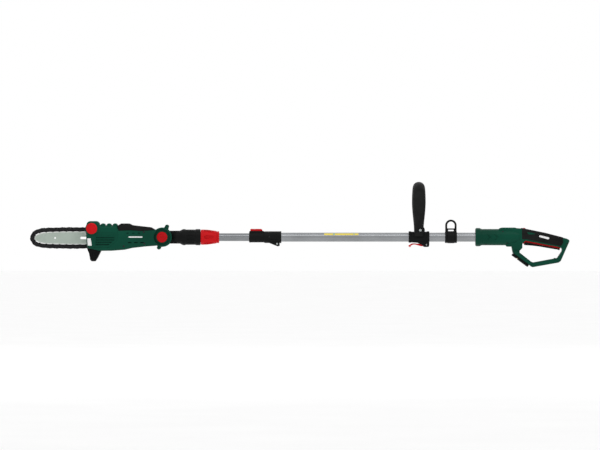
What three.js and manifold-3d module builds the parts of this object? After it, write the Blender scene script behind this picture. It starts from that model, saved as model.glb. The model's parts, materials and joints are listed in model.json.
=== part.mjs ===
// A telescoping battery pole saw as an assembly of separate pieces.
//
// Millimetres, +Z up, +X from the bar tip towards the rear handle. The origin lies under the middle of the
// tool, on the surface that its lowest point touches, and the pole's axis runs along X above it.
// The guide bar points to -X, its sprocket cover faces +Y and its oil cap faces -Y.
import * as THREE from "three";
import { mergeVertices } from "three/addons/utils/BufferGeometryUtils.js";
import Module from "manifold-3d";

const wasm = await Module();
wasm.setup();

// ---- Driving dimensions -------------------------------------------------------------------------------

const POLE_HEIGHT = 99.5; // pole axis above the lowest point
const GAP = 0.3; // clearance between pieces that touch
const WALL = 2.4; // moulded casing wall

const TILT_X = -454.4; // tilt axis of the head
const CLAMP_X = -61.7; // rear face of the telescope clamp
const HANDLE_X = 396; // pivot bolt of the front handle
const STRAP_X = 498; // middle of the strap eye
const REAR_X = 578.5; // front face of the rear housing

const INNER_TUBE = { radius: 13, wall: 1.5, from: -342, to: 545 };
const OUTER_TUBE = { radius: 15, wall: 1.3, from: -112, to: 655 };
const GROOVE = { width: 4, depth: 1.6 };

const BAR = { y: 26, thick: 4, z: -2.8, nose: -423.1, tail: -218.5, rise: 20.4 };
const CHAIN = { thick: 6.6, tip: -435.9, rise: 34.6, rear: -166 };
const SPROCKET = { x: -200, radius: 15.5, teeth: 6 };
const NOSE_WHEEL = { x: -406, radius: 11, teeth: 9 };

const HEAD = { front: -250.5, left: -36, right: 21.5, corner: 9 };
const HINGE = { radius: 32, cheek: 31, slot: 13, tongue: 12.5, neck: 21.4, down: 60 };
const STUD = { x: -234, radius: 3.6 }; // the bar's clamping stud
const OIL_CAP = { x: -231.3, z: 28.4, radius: 18.7 };
const MOTOR = { from: -156, to: -88, radius: 18 };

const NECK = { thin: 21.4, thick: 26.7, step: 63, end: 126.1, bore: 13.3 };
const NUT = { from: 127.1, to: 187.8, front: 23.4, rear: 18.8 };

const FRONT_HANDLE = { bolt: 22.9, top: 181.7, halfWidth: 75, section: [20.8, 13] };
const GRIP_HALF = 19.5; // half the width of the rear handle
const FOOT_HALF = 30; // half the width of the battery foot

// ---- Materials ----------------------------------------------------------------------------------------

const FINISH = {
  green: [0x0b4a35, 0.45, 0],
  red: [0xc8141c, 0.4, 0],
  black: [0x1b1d1c, 0.6, 0],
  rubber: [0x161817, 0.9, 0],
  aluminium: [0xb9bdbe, 0.3, 1],
  barSteel: [0xa9b3aa, 0.35, 1],
  chainSteel: [0x2c2c2c, 0.45, 1],
  steel: [0x8d9192, 0.35, 1],
  brass: [0xb89a4a, 0.35, 1],
  board: [0x1c5a34, 0.5, 0],
  tank: [0xd9d6c4, 0.5, 0],
};

/** One named mesh with a material of its own, made from a solid. */
function piece(name, solid, finish) {
  const [color, roughness, metalness] = FINISH[finish];
  const { vertProperties, triVerts } = solid.getMesh();
  const geometry = new THREE.BufferGeometry();
  geometry.setAttribute("position", new THREE.BufferAttribute(vertProperties, 3));
  geometry.setIndex(new THREE.BufferAttribute(triVerts, 1));
  geometry.computeVertexNormals();
  const mesh = new THREE.Mesh(geometry, new THREE.MeshStandardMaterial({ color, roughness, metalness }));
  mesh.name = name;
  return mesh;
}

/** A group placed at x along the pole, holding some meshes. */
function station(x, ...children) {
  const group = new THREE.Group();
  group.position.x = x;
  group.add(...children.flat());
  return group;
}

// ---- Solids -------------------------------------------------------------------------------------------

/** A closed three.js geometry as a solid that faces outwards. */
function solidOf(geometry) {
  const bare = geometry.index ? geometry.toNonIndexed() : geometry.clone();
  bare.deleteAttribute("normal");
  bare.deleteAttribute("uv");
  const merged = mergeVertices(bare, 1e-3);
  const vertProperties = merged.attributes.position.array;
  const triVerts = Uint32Array.from(merged.index.array);
  const made = new wasm.Manifold(new wasm.Mesh({ numProp: 3, vertProperties, triVerts }));
  if (made.volume() > 0) return made;
  for (let i = 0; i < triVerts.length; i += 3) {
    const second = triVerts[i + 1];
    triVerts[i + 1] = triVerts[i + 2];
    triVerts[i + 2] = second;
  }
  return new wasm.Manifold(new wasm.Mesh({ numProp: 3, vertProperties, triVerts }));
}

/** Several solids joined into one. */
const join = (...solids) => solids.flat().reduce((whole, next) => whole.add(next));

/** A solid with others cut out of it. */
const cut = (solid, ...tools) => tools.flat().reduce((rest, tool) => rest.subtract(tool), solid);

/** A box between two corners. */
function box([x0, y0, z0], [x1, y1, z1]) {
  const geometry = new THREE.BoxGeometry(x1 - x0, y1 - y0, z1 - z0);
  return solidOf(geometry.translate((x0 + x1) / 2, (y0 + y1) / 2, (z0 + z1) / 2));
}

/** A profile of [x, radius] pairs turned about the X axis, at y and z. It starts and ends on the axis. */
function turnedX(profile, { y = 0, z = 0, sides = 18 } = {}) {
  const points = profile.map(([x, radius]) => new THREE.Vector2(radius, x));
  return solidOf(new THREE.LatheGeometry(points, sides).rotateZ(-Math.PI / 2).translate(0, y, z));
}

/** A rod along X. */
const rodX = (x0, x1, radius, place) => turnedX([[x0, 0], [x0, radius], [x1, radius], [x1, 0]], place);

/** A profile of [y, radius] pairs turned about the Y axis, at x and z. It starts and ends on the axis. */
function turnedY(profile, { x = 0, z = 0, sides = 18 } = {}) {
  const points = profile.map(([y, radius]) => new THREE.Vector2(radius, y));
  return solidOf(new THREE.LatheGeometry(points, sides).translate(x, 0, z));
}

/** A rod along Y. */
const rodY = (y0, y1, radius, place) => turnedY([[y0, 0], [y0, radius], [y1, radius], [y1, 0]], place);

/** A rod along Z. */
function rodZ(z0, z1, radius, { x = 0, y = 0, sides = 12 } = {}) {
  const geometry = new THREE.CylinderGeometry(radius, radius, z1 - z0, sides);
  return solidOf(geometry.rotateX(Math.PI / 2).translate(x, y, (z0 + z1) / 2));
}

/** An outline in the XZ plane through [x, z] corners, each rounded off by up to a given radius. */
function outline(corners, radius = 0) {
  const points = corners.map(([x, z]) => new THREE.Vector2(x, z));
  return { points: THREE.ShapeUtils.isClockWise(points) ? points.reverse() : points, radius };
}

/** An outline's points after its edges are moved inwards and its corners rounded. */
function contour({ points, radius }, inset) {
  const STEPS = 2;
  const moved = points.map((corner, i) => {
    const along = corner.clone().sub(points.at(i - 1)).normalize();
    const onward = points[(i + 1) % points.length].clone().sub(corner).normalize();
    const normal = new THREE.Vector2(-along.y - onward.y, along.x + onward.x);
    return corner.clone().addScaledVector(normal, inset / (1 + along.dot(onward)));
  });
  if (radius === 0) return moved;
  return moved.flatMap((corner, i) => {
    const towards = (other) => {
      const length = other.distanceTo(corner);
      return corner.clone().lerp(other, Math.min(radius, length / 2.2) / length);
    };
    const enter = towards(moved.at(i - 1));
    const leave = towards(moved[(i + 1) % moved.length]);
    return new THREE.QuadraticBezierCurve(enter, corner, leave).getPoints(STEPS);
  });
}

/**
 * An outline given depth from y0 to y1. Its two faces are rounded over by edge, and inset draws the whole
 * outline inwards.
 */
function slab(shape, y0, y1, { edge = 0, inset = 0 } = {}) {
  if (shape instanceof THREE.Shape) return straightSlab(shape, y0, y1);
  const steps = edge > 4 ? 3 : 1;
  const layers = edge === 0 ? [[y0, inset]] : [];
  for (let i = 0; edge > 0 && i <= steps; i++) {
    const angle = (i / steps) * (Math.PI / 2);
    layers.push([y0 + edge * (1 - Math.cos(angle)), inset + edge * (1 - Math.sin(angle))]);
  }
  layers.push(...layers.map(([y, drawn]) => [y0 + y1 - y, drawn]).reverse());
  const rings = layers.map(([y, drawn]) => contour(shape, drawn).map(({ x, y: z }) => [x, y, z]));
  const count = rings[0].length;
  const cap = THREE.ShapeUtils.triangulateShape(contour(shape, inset), []);
  const last = (rings.length - 1) * count;
  const index = cap.flatMap(([a, b, c]) => [a, b, c, last + a, last + c, last + b]);
  for (let ring = 0; ring < last; ring += count) {
    for (let i = 0; i < count; i++) {
      const [a, b] = [ring + i, ring + ((i + 1) % count)];
      index.push(a, a + count, b, b, a + count, b + count);
    }
  }
  const geometry = new THREE.BufferGeometry();
  geometry.setAttribute("position", new THREE.Float32BufferAttribute(rings.flat(2), 3));
  geometry.setIndex(index);
  return solidOf(geometry);
}

/** A curved outline given depth from y0 to y1, with sharp edges. */
function straightSlab(shape, y0, y1) {
  const CURVE_STEPS = 3;
  const geometry = new THREE.ExtrudeGeometry(shape, {
    depth: y1 - y0,
    curveSegments: CURVE_STEPS,
    bevelEnabled: false,
  });
  return solidOf(geometry.rotateX(Math.PI / 2).translate(0, y1, 0));
}

/** The part of a solid on one side of the casing's seam, in the plane y = 0. */
function halfOf(solid, side) {
  const FAR = 1000;
  const seam = GAP / 2;
  return side === "left"
    ? solid.intersect(box([-FAR, -FAR, -FAR], [FAR, -seam, FAR]))
    : solid.intersect(box([-FAR, seam, -FAR], [FAR, FAR, FAR]));
}

/** A toothed wheel about the Y axis, from y0 to y1. */
function toothedWheel(y0, y1, { x, z, root, tip, teeth }) {
  const wheel = rodY(y0, y1, root, { x, z, sides: 2 * teeth });
  const tooth = (i) => {
    const half = (Math.PI * root) / teeth / 2.4;
    const shape = outline([[root - 1, -half], [tip, -half / 2.5], [tip, half / 2.5], [root - 1, half]]);
    const turn = THREE.MathUtils.radToDeg((2 * Math.PI * i) / teeth);
    return slab(shape, y0, y1).rotate([0, -turn, 0]).translate([x, 0, z]);
  };
  return join(wheel, Array.from({ length: teeth }, (_, i) => tooth(i)));
}

/** A compression spring standing along Z, as one bent wire. */
function coilSpring(z0, z1, { radius, wire, turns, x = 0, y = 0 }) {
  const STEPS_PER_TURN = 8;
  const WIRE_SIDES = 4;
  class Helix extends THREE.Curve {
    getPoint(t, target = new THREE.Vector3()) {
      const angle = 2 * Math.PI * turns * t;
      return target.set(radius * Math.cos(angle), radius * Math.sin(angle), z0 + (z1 - z0) * t);
    }
  }
  const section = new THREE.Shape();
  for (let i = 0; i < WIRE_SIDES; i++) {
    const angle = (2 * Math.PI * i) / WIRE_SIDES;
    const at = [wire * Math.cos(angle), wire * Math.sin(angle)];
    if (i === 0) section.moveTo(...at);
    else section.lineTo(...at);
  }
  const geometry = new THREE.ExtrudeGeometry(section, {
    steps: Math.round(STEPS_PER_TURN * turns),
    extrudePath: new Helix(),
    bevelEnabled: false,
  });
  return solidOf(geometry.translate(x, y, 0));
}

/** A machine screw along Y: a domed head at y = head, its shank running to y = end. */
function screwY(head, end, { x, z, radius }) {
  const way = Math.sign(end - head);
  const HEAD_HEIGHT = 2.4;
  const inner = head + way * HEAD_HEIGHT;
  const shank = radius * 0.5;
  const profile = [[head, 0], [head, radius * 0.8], [head + way * 0.8, radius]];
  profile.push([inner, radius], [inner, shank], [end, shank], [end, 0]);
  return cut(
    turnedY(profile, { x, z, sides: 16 }),
    rodY(Math.min(head, head + way * 1.4), Math.max(head, head + way * 1.4), radius * 0.45, {
      x,
      z,
      sides: 6,
    }),
  );
}

// ---- Bar and chain (head frame: x and z from the tilt axis) --------------------------------------------

/** A long closed loop about the bar's centre line, mirrored from its upper edge and grown by a margin. */
function barOutline(edge, grow = 0) {
  const last = edge.length - 1;
  const upper = edge.map(([x, rise], i) => {
    if (i === 0) return [x - grow, rise];
    return [i === last ? x + grow : x, rise + grow];
  });
  const lower = upper.slice(1, -1).reverse();
  const shape = new THREE.Shape();
  shape.moveTo(upper[0][0], BAR.z + upper[0][1]);
  shape.splineThru(upper.slice(1).map(([x, rise]) => new THREE.Vector2(x, BAR.z + rise)));
  shape.lineTo(upper.at(-1)[0], BAR.z - upper.at(-1)[1]);
  shape.splineThru([...lower, upper[0]].map(([x, rise]) => new THREE.Vector2(x, BAR.z - rise)));
  return shape;
}

const barEdge = [
  [BAR.nose, 0],
  [-419.8, 7.2],
  [-411, 12.6],
  [-397, 16.4],
  [-376, 18.6],
  [-304, BAR.rise],
  [-245, BAR.rise - 0.6],
  [BAR.tail, 16],
];
const chainEdge = [
  [CHAIN.tip, 0],
  [-431.3, 16.5],
  [-416.6, 26.3],
  [-386.6, 31.4],
  [-304.6, CHAIN.rise],
  [-245, 33],
  [-196, 28],
  [-176, 17],
  [CHAIN.rear, 5],
];

function guideBar() {
  const half = BAR.thick / 2;
  const pocket = 1.1;
  const plate = slab(barOutline(barEdge), BAR.y - half, BAR.y + half);
  const adjust = rodY(BAR.y - 4, BAR.y + 4, 2.8, { x: -355.4, z: BAR.z, sides: 16 });
  const slotEnds = [-268, -229].map((x) => rodY(BAR.y - 4, BAR.y + 4, 3.9, { x, z: BAR.z, sides: 16 }));
  const slot = box([-268, BAR.y - 4, BAR.z - 3.9], [-229, BAR.y + 4, BAR.z + 3.9]);
  const tensionHole = rodY(BAR.y - 4, BAR.y + 4, 3.4, { x: -238, z: BAR.z + 12.5, sides: 12 });
  const nose = rodY(BAR.y - pocket, BAR.y + pocket, NOSE_WHEEL.radius + 3, { x: NOSE_WHEEL.x, z: BAR.z });
  const mouth = box([-430, BAR.y - pocket, BAR.z - 12], [NOSE_WHEEL.x, BAR.y + pocket, BAR.z + 12]);
  const rivet = rodY(BAR.y - half, BAR.y + half, 3.4, { x: NOSE_WHEEL.x, z: BAR.z, sides: 12 });
  return join(cut(plate, adjust, slotEnds, slot, tensionHole, cut(join(nose, mouth), rivet)));
}

function sawChain() {
  const half = CHAIN.thick / 2;
  const ring = cut(
    slab(barOutline(chainEdge), BAR.y - half, BAR.y + half),
    slab(barOutline(barEdge, 1), BAR.y - 9, BAR.y + 9),
    rodY(BAR.y - 9, BAR.y + 9, SPROCKET.radius + 2.4, { x: SPROCKET.x, z: BAR.z }),
  );
  const CUTTERS = 9;
  const notch = (i, side) => {
    const x = -378 + i * 20;
    return box(
      [x, BAR.y - 5, BAR.z + side * 34 - 4],
      [x + 7, BAR.y + 5, BAR.z + side * 34 + 4],
    );
  };
  const notches = Array.from({ length: CUTTERS }, (_, i) => [notch(i, 1), notch(i, -1)]);
  return cut(ring, notches.flat());
}

function noseSprocket() {
  const wheel = toothedWheel(BAR.y - 0.7, BAR.y + 0.7, {
    x: NOSE_WHEEL.x,
    z: BAR.z,
    root: NOSE_WHEEL.radius - 2,
    tip: NOSE_WHEEL.radius,
    teeth: NOSE_WHEEL.teeth,
  });
  return cut(wheel, rodY(BAR.y - 3, BAR.y + 3, 3.9, { x: NOSE_WHEEL.x, z: BAR.z, sides: 16 }));
}

// ---- Head drive ---------------------------------------------------------------------------------------

const SHAFT = { radius: 5, from: 3, to: 34 };
const BEVEL = { radius: 21, pinion: 8, back: 13.6 };

function sprocketShaft() {
  const { x } = SPROCKET;
  const place = { x, z: BAR.z, sides: 24 };
  const collar = rodY(BEVEL.back + 0.1, BEVEL.back + 1.2, 7.5, place);
  return join(rodY(SHAFT.from, SHAFT.to, SHAFT.radius, place), collar);
}

function bevelGear() {
  const { x } = SPROCKET;
  const place = { x, z: BAR.z, sides: 32 };
  const { radius, pinion, back } = BEVEL;
  const face = 0.62;
  const body = turnedY(
    [[pinion * face, 0], [pinion * face, 9], [pinion, radius], [back, radius], [back, 0]],
    place,
  );
  const valley = (i) => {
    const shape = outline([[radius - 9, -0.5], [radius + 2, -1], [radius + 2, 1], [radius - 9, 0.5]]);
    return slab(shape, pinion - 4, pinion + 2.5).rotate([0, (i * 360) / 16, 0]).translate([x, 0, BAR.z]);
  };
  const teeth = Array.from({ length: 16 }, (_, i) => valley(i));
  return cut(body, teeth, rodY(0, 20, SHAFT.radius + GAP / 2, place));
}

function driveSprocket() {
  const { x, radius, teeth } = SPROCKET;
  const star = { x, z: BAR.z, root: radius - 5, tip: radius, teeth };
  const rims = [[20.4, 21.6], [30.4, 31.6]].map(([y0, y1]) => rodY(y0, y1, radius - 5, { x, z: BAR.z }));
  const hub = rodY(21.2, 31, radius - 7, { x, z: BAR.z });
  const bore = rodY(10, 40, SHAFT.radius + GAP / 2, { x, z: BAR.z, sides: 24 });
  return cut(join(toothedWheel(BAR.y - 2.4, BAR.y + 2.4, star), rims, hub), bore);
}

/** A ball bearing drawn as its ring, on the sprocket shaft. */
function bearing(y0, y1) {
  const place = { x: SPROCKET.x, z: BAR.z, sides: 28 };
  return cut(rodY(y0, y1, 10, place), rodY(y0 - 1, y1 + 1, SHAFT.radius + GAP, place));
}

function motorShaft() {
  const { pinion } = BEVEL;
  const tip = SPROCKET.x + 12;
  const back = tip + 8.5;
  const wheel = turnedX([[tip, 0], [tip, pinion * 0.56], [back, pinion * 0.88], [back, 0]], {
    z: BAR.z,
    sides: 16,
  });
  return join(wheel, rodX(back - 1, MOTOR.to + 6, 2.5, { z: BAR.z, sides: 16 }));
}

function motorCan() {
  const { from, to, radius } = MOTOR;
  const can = turnedX(
    [[from - 3, 0], [from - 3, 6], [from, 6], [from, radius], [to, radius], [to, 7], [to + 3, 7], [to + 3, 0]],
    { z: BAR.z },
  );
  const vents = [0, 90, 180, 270].map((angle) =>
    box([from + 6, -3, radius - 3], [from + 16, 3, radius + 2]).rotate([angle, 0, 0]).translate([0, 0, BAR.z]),
  );
  return cut(can, vents, rodX(from - 9, to + 9, 2.9, { z: BAR.z, sides: 16 }));
}

// ---- Head casing --------------------------------------------------------------------------------------

const headUnder = [
  [-54.6, -30.9],
  [-98.6, -35.8],
  [-122.6, -41.5],
  [-165.6, -44.9],
  [-205, -45.2],
  [HEAD.front + 3, -36.2],
];
const headOver = [
  [HEAD.front, 14],
  [-248.5, 53],
  [-207, 53],
  [-202, 40],
];
const BUMPS = { first: -194.4, pitch: 19.8, radius: 9, z: 37.4 };
const INSERT = { from: -149, z: 25.4 };

function headOutline() {
  const rear = [[-146, 40], [-143, INSERT.z], [-20, INSERT.z], [-10, -27.6]];
  return outline([...headUnder, ...headOver, ...rear], 7);
}

function headCasing() {
  const { left, right, corner } = HEAD;
  const body = slab(headOutline(), left, right, { edge: corner });
  const bumps = [0, 1, 2].map((i) =>
    rodY(left + 9, right - 9, BUMPS.radius, { x: BUMPS.first + i * BUMPS.pitch, z: BUMPS.z, sides: 16 }),
  );
  const { cheek, radius } = HINGE;
  const cheeks = [
    turnedY([[-cheek, 0], [-cheek, 27], [-cheek + 4, radius], [0, radius], [0, 0]]),
    turnedY([[0, 0], [0, radius], [cheek - 4, radius], [cheek, 27], [cheek, 0]]),
  ];
  const lugs = [[15.8, 35.1], [-10.9, -34.5]].map(([x, z]) =>
    join(
      rodY(-24, 24, 6.3, { x, z, sides: 16 }),
      rodY(-24, 24, 7, { x: x * 0.8, z: z * 0.8, sides: 16 }),
    ),
  );
  const hollow = join(
    slab(headOutline(), left + WALL, right - WALL, { edge: corner - 2, inset: WALL }).intersect(
      box([-300, -60, -60], [-36, 60, 60]),
    ),
    rodX(-40, -20, 5, { sides: 16 }),
  );
  const tongueRoom = box([0, -HINGE.slot, -HINGE.neck - 1], [60, HINGE.slot, HINGE.neck + 1]);
  const slot = join(
    rodY(-HINGE.slot, HINGE.slot, 24.4, { sides: 20 }),
    box([-6, -HINGE.slot, -60], [60, HINGE.slot, 60]),
    tongueRoom.rotate([0, HINGE.down, 0]),
  );
  const { x: capX, z: capZ } = OIL_CAP;
  const filler = rodY(left - 6, left + 9, OIL_CAP.radius - 2, { x: capX, z: capZ });
  const button = rodY(-40, -10, 18.1);
  const pivot = rodY(-40, 40, 6.3, { sides: 20 });
  const boltHead = rodY(24, 40, 11);
  const shaft = rodY(10, 40, 11.2, { x: SPROCKET.x, z: BAR.z });
  const studs = rodY(10, 40, STUD.radius + GAP, { x: STUD.x, z: BAR.z, sides: 16 });
  const tension = rodX(-262, -215, 3.2, { y: 13, z: BAR.z + 12.5, sides: 16 });
  const pinWay = box([-246, 12, BAR.z + 9], [-228, 30, BAR.z + 16]);
  const louvres = Array.from({ length: 6 }, (_, i) => {
    const z = -24 + i * 7;
    return box([-219, left - 2, z], [-156 - Math.max(0, 2 - i) * 9, left + WALL + 2, z + 2.6]);
  });
  const sideVents = [-112, -92, -72].map((x) => box([x, left - 2, -19], [x + 12, left + WALL + 8, -16.4]));
  const upperVents = [-118, -99, -80].map((x) => box([x, left - 2, 12], [x + 9, left + WALL + 8, 15]));
  const seatSlit = box([INSERT.from - 2, -10, INSERT.z - 4], [-133, 3, INSERT.z + 30]);
  return cut(join(body, bumps, cheeks, lugs), [
    hollow,
    slot,
    filler,
    button,
    pivot,
    boltHead,
    shaft,
    studs,
    tension,
    pinWay,
    louvres,
    sideVents,
    upperVents,
    seatSlit,
  ].flat());
}

/** The soft black insert along the top of the head, humped behind the three finger bumps. */
function headInsert() {
  const shape = outline(
    [
      [-143, INSERT.z - 4],
      [-146, 40],
      [-134, 45.2],
      [-106, 45.2],
      [-97, 39.6],
      [-36, 32.6],
      [-33, INSERT.z - 4],
    ],
    4,
  );
  const casing = slab(headOutline(), HEAD.left - 2, HEAD.right + 2, { inset: -GAP });
  const cover = slab(shape, HEAD.left + 7, HEAD.right - 3, { edge: 5 });
  return cut(cover, casing, rodY(-40, 40, HINGE.radius + GAP));
}

function oilCap() {
  const { x, z, radius } = OIL_CAP;
  const y = HEAD.left;
  const neck = 10;
  const grips = Array.from({ length: 12 }, (_, i) =>
    rodY(y - 12, y - 2, 1.4, { x: radius, sides: 4 }).rotate([0, i * 30, 0]).translate([x, 0, z]),
  );
  const cap = turnedY(
    [[y - 8, 0], [y - 8, radius - 3], [y - 6, radius], [y, radius], [y, neck], [y + 9, neck], [y + 9, 0]],
    { x, z },
  );
  return cut(cap, grips);
}

function oilCapSeal() {
  const { x, z } = OIL_CAP;
  const y = HEAD.left + 2;
  return cut(rodY(y, y + 2.4, 13, { x, z }), rodY(y - 1, y + 4, 10.4, { x, z }));
}

function oilTank() {
  const { x, z } = OIL_CAP;
  const shape = outline([[-244, 2], [-244, 40], [-215, 40], [-209, 32], [-166, 32], [-166, 24], [-205, 2]], 4);
  const body = slab(shape, -30, 3, { edge: 3 });
  const hollow = slab(shape, -28, 1, { edge: 2, inset: 2 });
  const neck = rodY(-31.3, -24, 12.6, { x, z });
  return cut(join(body, neck), hollow, rodY(-40, -20, 10.6, { x, z }));
}

function oilPump() {
  const body = box([-226, -14, -24], [-206, 3, -12]);
  const spout = rodX(-240, -225, 2.5, { y: -2, z: -18, sides: 12 });
  return join(body, spout);
}

/** The branch hook under the front of the head: a ribbed horn that rests against the cut. */
function branchHook() {
  const shape = outline(
    [[-247, -38.6], [-241, -53], [-237, -75], [-232, -79.6], [-220, -79.6], [-212, -67], [-202.6, -46.6]],
    4,
  );
  const horn = slab(shape, -22, 16, { edge: 2 });
  const pocket = outline([[-238, -52], [-232, -72], [-222, -72], [-212, -52]], 2);
  const pockets = [-25, 13].map((y) => slab(pocket, y, y + 6));
  return cut(horn, pockets, slab(headOutline(), HEAD.left - 2, HEAD.right + 2, { inset: -GAP }));
}

function sprocketCover() {
  const shape = outline(
    [
      [-249, -37],
      [-249, 31],
      [-222, 38],
      [-176, 38],
      [-152, 24],
      [-146, 2],
      [-152, -30],
      [-176, -43],
      [-205, -44],
    ],
    10,
  );
  const from = HEAD.right + GAP;
  const shell = slab(shape, from, 44, { edge: 5 });
  const hollow = slab(shape, from - 8, 41, { edge: 3, inset: 3 });
  const chainWay = box([-260, from - 4, BAR.z - 37.5], [-235, 34, BAR.z + 37.5]);
  const knobWell = rodY(34, 50, 16.6, { x: STUD.x, z: BAR.z });
  const well = cut(rodY(36, 43, 19, { x: STUD.x, z: BAR.z }), rodY(38.4, 50, 16.6, { x: STUD.x, z: BAR.z }));
  const bore = rodY(20, 50, 5.2, { x: STUD.x, z: BAR.z, sides: 20 });
  return cut(join(cut(shell, hollow, chainWay, knobWell), well), bore);
}

function coverKnob() {
  const { x } = STUD;
  const grips = Array.from({ length: 10 }, (_, i) =>
    rodY(38, 60, 2.2, { x: 16.6, sides: 8 }).rotate([0, i * 36, 0]).translate([x, 0, BAR.z]),
  );
  const body = turnedY([[38.9, 0], [38.9, 15.8], [50, 15.8], [52, 13.5], [52, 0]], { x, z: BAR.z });
  const nut = rodY(31, 39.5, 4.9, { x, z: BAR.z, sides: 6 });
  const bore = rodY(28, 46, STUD.radius + GAP, { x, z: BAR.z, sides: 16 });
  return cut(join(body, nut), grips, bore);
}

function barStud() {
  const place = { x: STUD.x, z: BAR.z, sides: 16 };
  return join(rodY(10, 45, STUD.radius, place), rodY(10, 14, 7.5, { ...place, sides: 6 }));
}

const TENSION = { x: -238, y: 13, z: BAR.z + 12.5 };

function tensionScrew() {
  const { y, z } = TENSION;
  const screw = rodX(-253, -222, 1.9, { y, z, sides: 14 });
  const head = rodX(-256, -252, 2.8, { y, z, sides: 14 });
  const slotted = box([-258, y - 0.4, z - 4], [-255, y + 0.4, z + 4]);
  return cut(join(screw, head), slotted);
}

function tensionPin() {
  const { x, y, z } = TENSION;
  const block = box([x - 3.5, y - 3.2, z - 3], [x + 3.5, y + 3.6, z + 3]);
  const pin = rodY(y + 3, BAR.y + 2, 2.6, { x, z, sides: 14 });
  return cut(join(block, pin), rodX(x - 9, x + 9, 2.2, { y, z, sides: 14 }));
}

// ---- Tilt joint ---------------------------------------------------------------------------------------

const STAR_TEETH = 12;

function tiltButton() {
  const face = -35.2;
  const rim = HINGE.radius - 14.5;
  const cap = turnedY([[face, 0], [face, rim - 2], [face + 2, rim], [-24, rim], [-24, 0]]);
  const mark = outline([[-7, -1.2], [2, -1.2], [2, -4.5], [8, 0], [2, 4.5], [2, 1.2], [-7, 1.2]]);
  const arrow = slab(mark, -40, face + 0.8);
  const well = rodY(-31, -20, 14);
  return cut(join(cut(cap, arrow, well), rodY(-34, -24, 4)), rodY(-26, -20, 3));
}

/** The star that the button pushes: its teeth hold the neck's tongue at each detent. */
function tiltLockStar() {
  const star = toothedWheel(-16.5, -13.4, { x: 0, z: 0, root: 13, tip: 15.5, teeth: STAR_TEETH });
  return cut(star, rodY(-20, -10, 7));
}

const tiltSpring = () =>
  coilSpring(0, 12.4, { radius: 9, wire: 0.7, turns: 3 }).rotate([90, 0, 0]).translate([0, -17.6, 0]);

function tiltBolt() {
  const shank = rodY(-13.2, 27.5, 6, { sides: 20 });
  const head = turnedY([[25.4, 0], [25.4, 10.6], [29.6, 10.6], [30.6, 9.4], [30.6, 0]], { sides: 20 });
  return cut(join(shank, head), rodY(27.6, 40, 3.4, { sides: 6 }));
}

// ---- Neck (head frame as well: its tongue turns on the tilt axis) --------------------------------------

function neckCasing() {
  const { thin, thick, step, end, bore } = NECK;
  const grip = turnedX([
    [46, 0],
    [46, thin],
    [step - 3, thin],
    [step + 6, thick],
    [step + 11, thick - 1.4],
    [end - 16, thick - 1.4],
    [end - 10, thick],
    [end, thick - 1],
    [end, 0],
  ]);
  const tongue = join(
    rodY(-HINGE.tongue, HINGE.tongue, HINGE.neck),
    box([0, -HINGE.tongue, -HINGE.neck], [48, HINGE.tongue, HINGE.neck]),
  );
  const tube = rodX(INNER_TUBE.from - TILT_X - 2, end + 1, bore, { sides: 20 });
  const wiring = rodX(20, 118, 9, { sides: 20 });
  const axle = rodY(-20, 20, 6.3, { sides: 20 });
  const collarSeat = rodX(end - 12, end + 1, 17.4, { sides: 32 });
  return cut(join(grip, tongue), tube, wiring, axle, collarSeat);
}

function unionNut() {
  const { from, to, front, rear } = NUT;
  const body = turnedX([
    [from, 0],
    [from, front],
    [from + 22, front + 0.6],
    [to - 8, rear + 1.4],
    [to - 5, rear - 0.4],
    [to, rear],
    [to, 0],
  ]);
  const grooves = Array.from({ length: 10 }, (_, i) =>
    box([from + 16, -1.2, front - 2.4], [to - 10, 1.2, front + 4]).rotate([i * 36, 0, 0]),
  );
  return cut(body, grooves, rodX(from - 1, to - 12, 19.2), rodX(from, to + 1, INNER_TUBE.radius + GAP));
}

/** The split collet that the union nut squeezes onto the tube. */
function collet() {
  const end = NECK.end;
  const body = turnedX([[end - 11.5, 0], [end - 11.5, 17], [end + 36, 17], [end + 46, 15.4], [end + 46, 0]]);
  const slots = [0, 90].map((angle) => box([end + 16, -30, -1], [end + 60, 30, 1]).rotate([angle, 0, 0]));
  return cut(body, slots, rodX(end - 20, end + 60, INNER_TUBE.radius + GAP, { sides: 20 }));
}

// ---- Pole ---------------------------------------------------------------------------------------------

/** A round tube along X with a shallow groove pressed along each side, so that the one inside can't turn. */
function groovedTube({ radius, wall, from, to }) {
  const { width, depth } = GROOVE;
  const section = (r) => {
    const shape = new THREE.Shape();
    const half = Math.asin(width / 2 / r);
    const bottom = r - depth;
    for (const side of [0, Math.PI]) {
      if (side === 0) shape.moveTo(bottom, 0);
      else shape.lineTo(-bottom, 0);
      shape.absarc(0, 0, r, side + half, side + Math.PI - half, false);
    }
    shape.closePath();
    return shape;
  };
  const rod = (r, x0, x1) => {
    const geometry = new THREE.ExtrudeGeometry(section(r), {
      depth: x1 - x0,
      curveSegments: 10,
      bevelEnabled: false,
    });
    return solidOf(geometry.rotateX(Math.PI / 2).rotateZ(Math.PI / 2).translate(x0, 0, 0));
  };
  return cut(rod(radius, from, to), rod(radius - wall, from - 1, to + 1));
}

/** The plug at the inner tube's rear end that slides in the outer tube and keeps it centred. */
function slideBush() {
  const { to } = INNER_TUBE;
  const flange = rodX(to + GAP, to + 8, 11.8, { sides: 20 });
  const sleeve = rodX(to - 22, to + 2, 9.2, { sides: 20 });
  return cut(join(flange, sleeve), rodX(to - 30, to + 20, 8.3, { sides: 20 }));
}

/** The coiled lead inside both tubes, drawn as the round space that its coils fill. */
const coiledLead = () => rodX(-332, 585, 7.6, { sides: 14 });

// ---- Telescope clamp (from the rear face of its body) --------------------------------------------------

const CLAMP = { front: -106.3, step: -56.8, slim: 17.2, stout: 19.2 };
const RELEASE = { from: -102, to: -62.5, top: 27.5, half: 6 };

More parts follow.
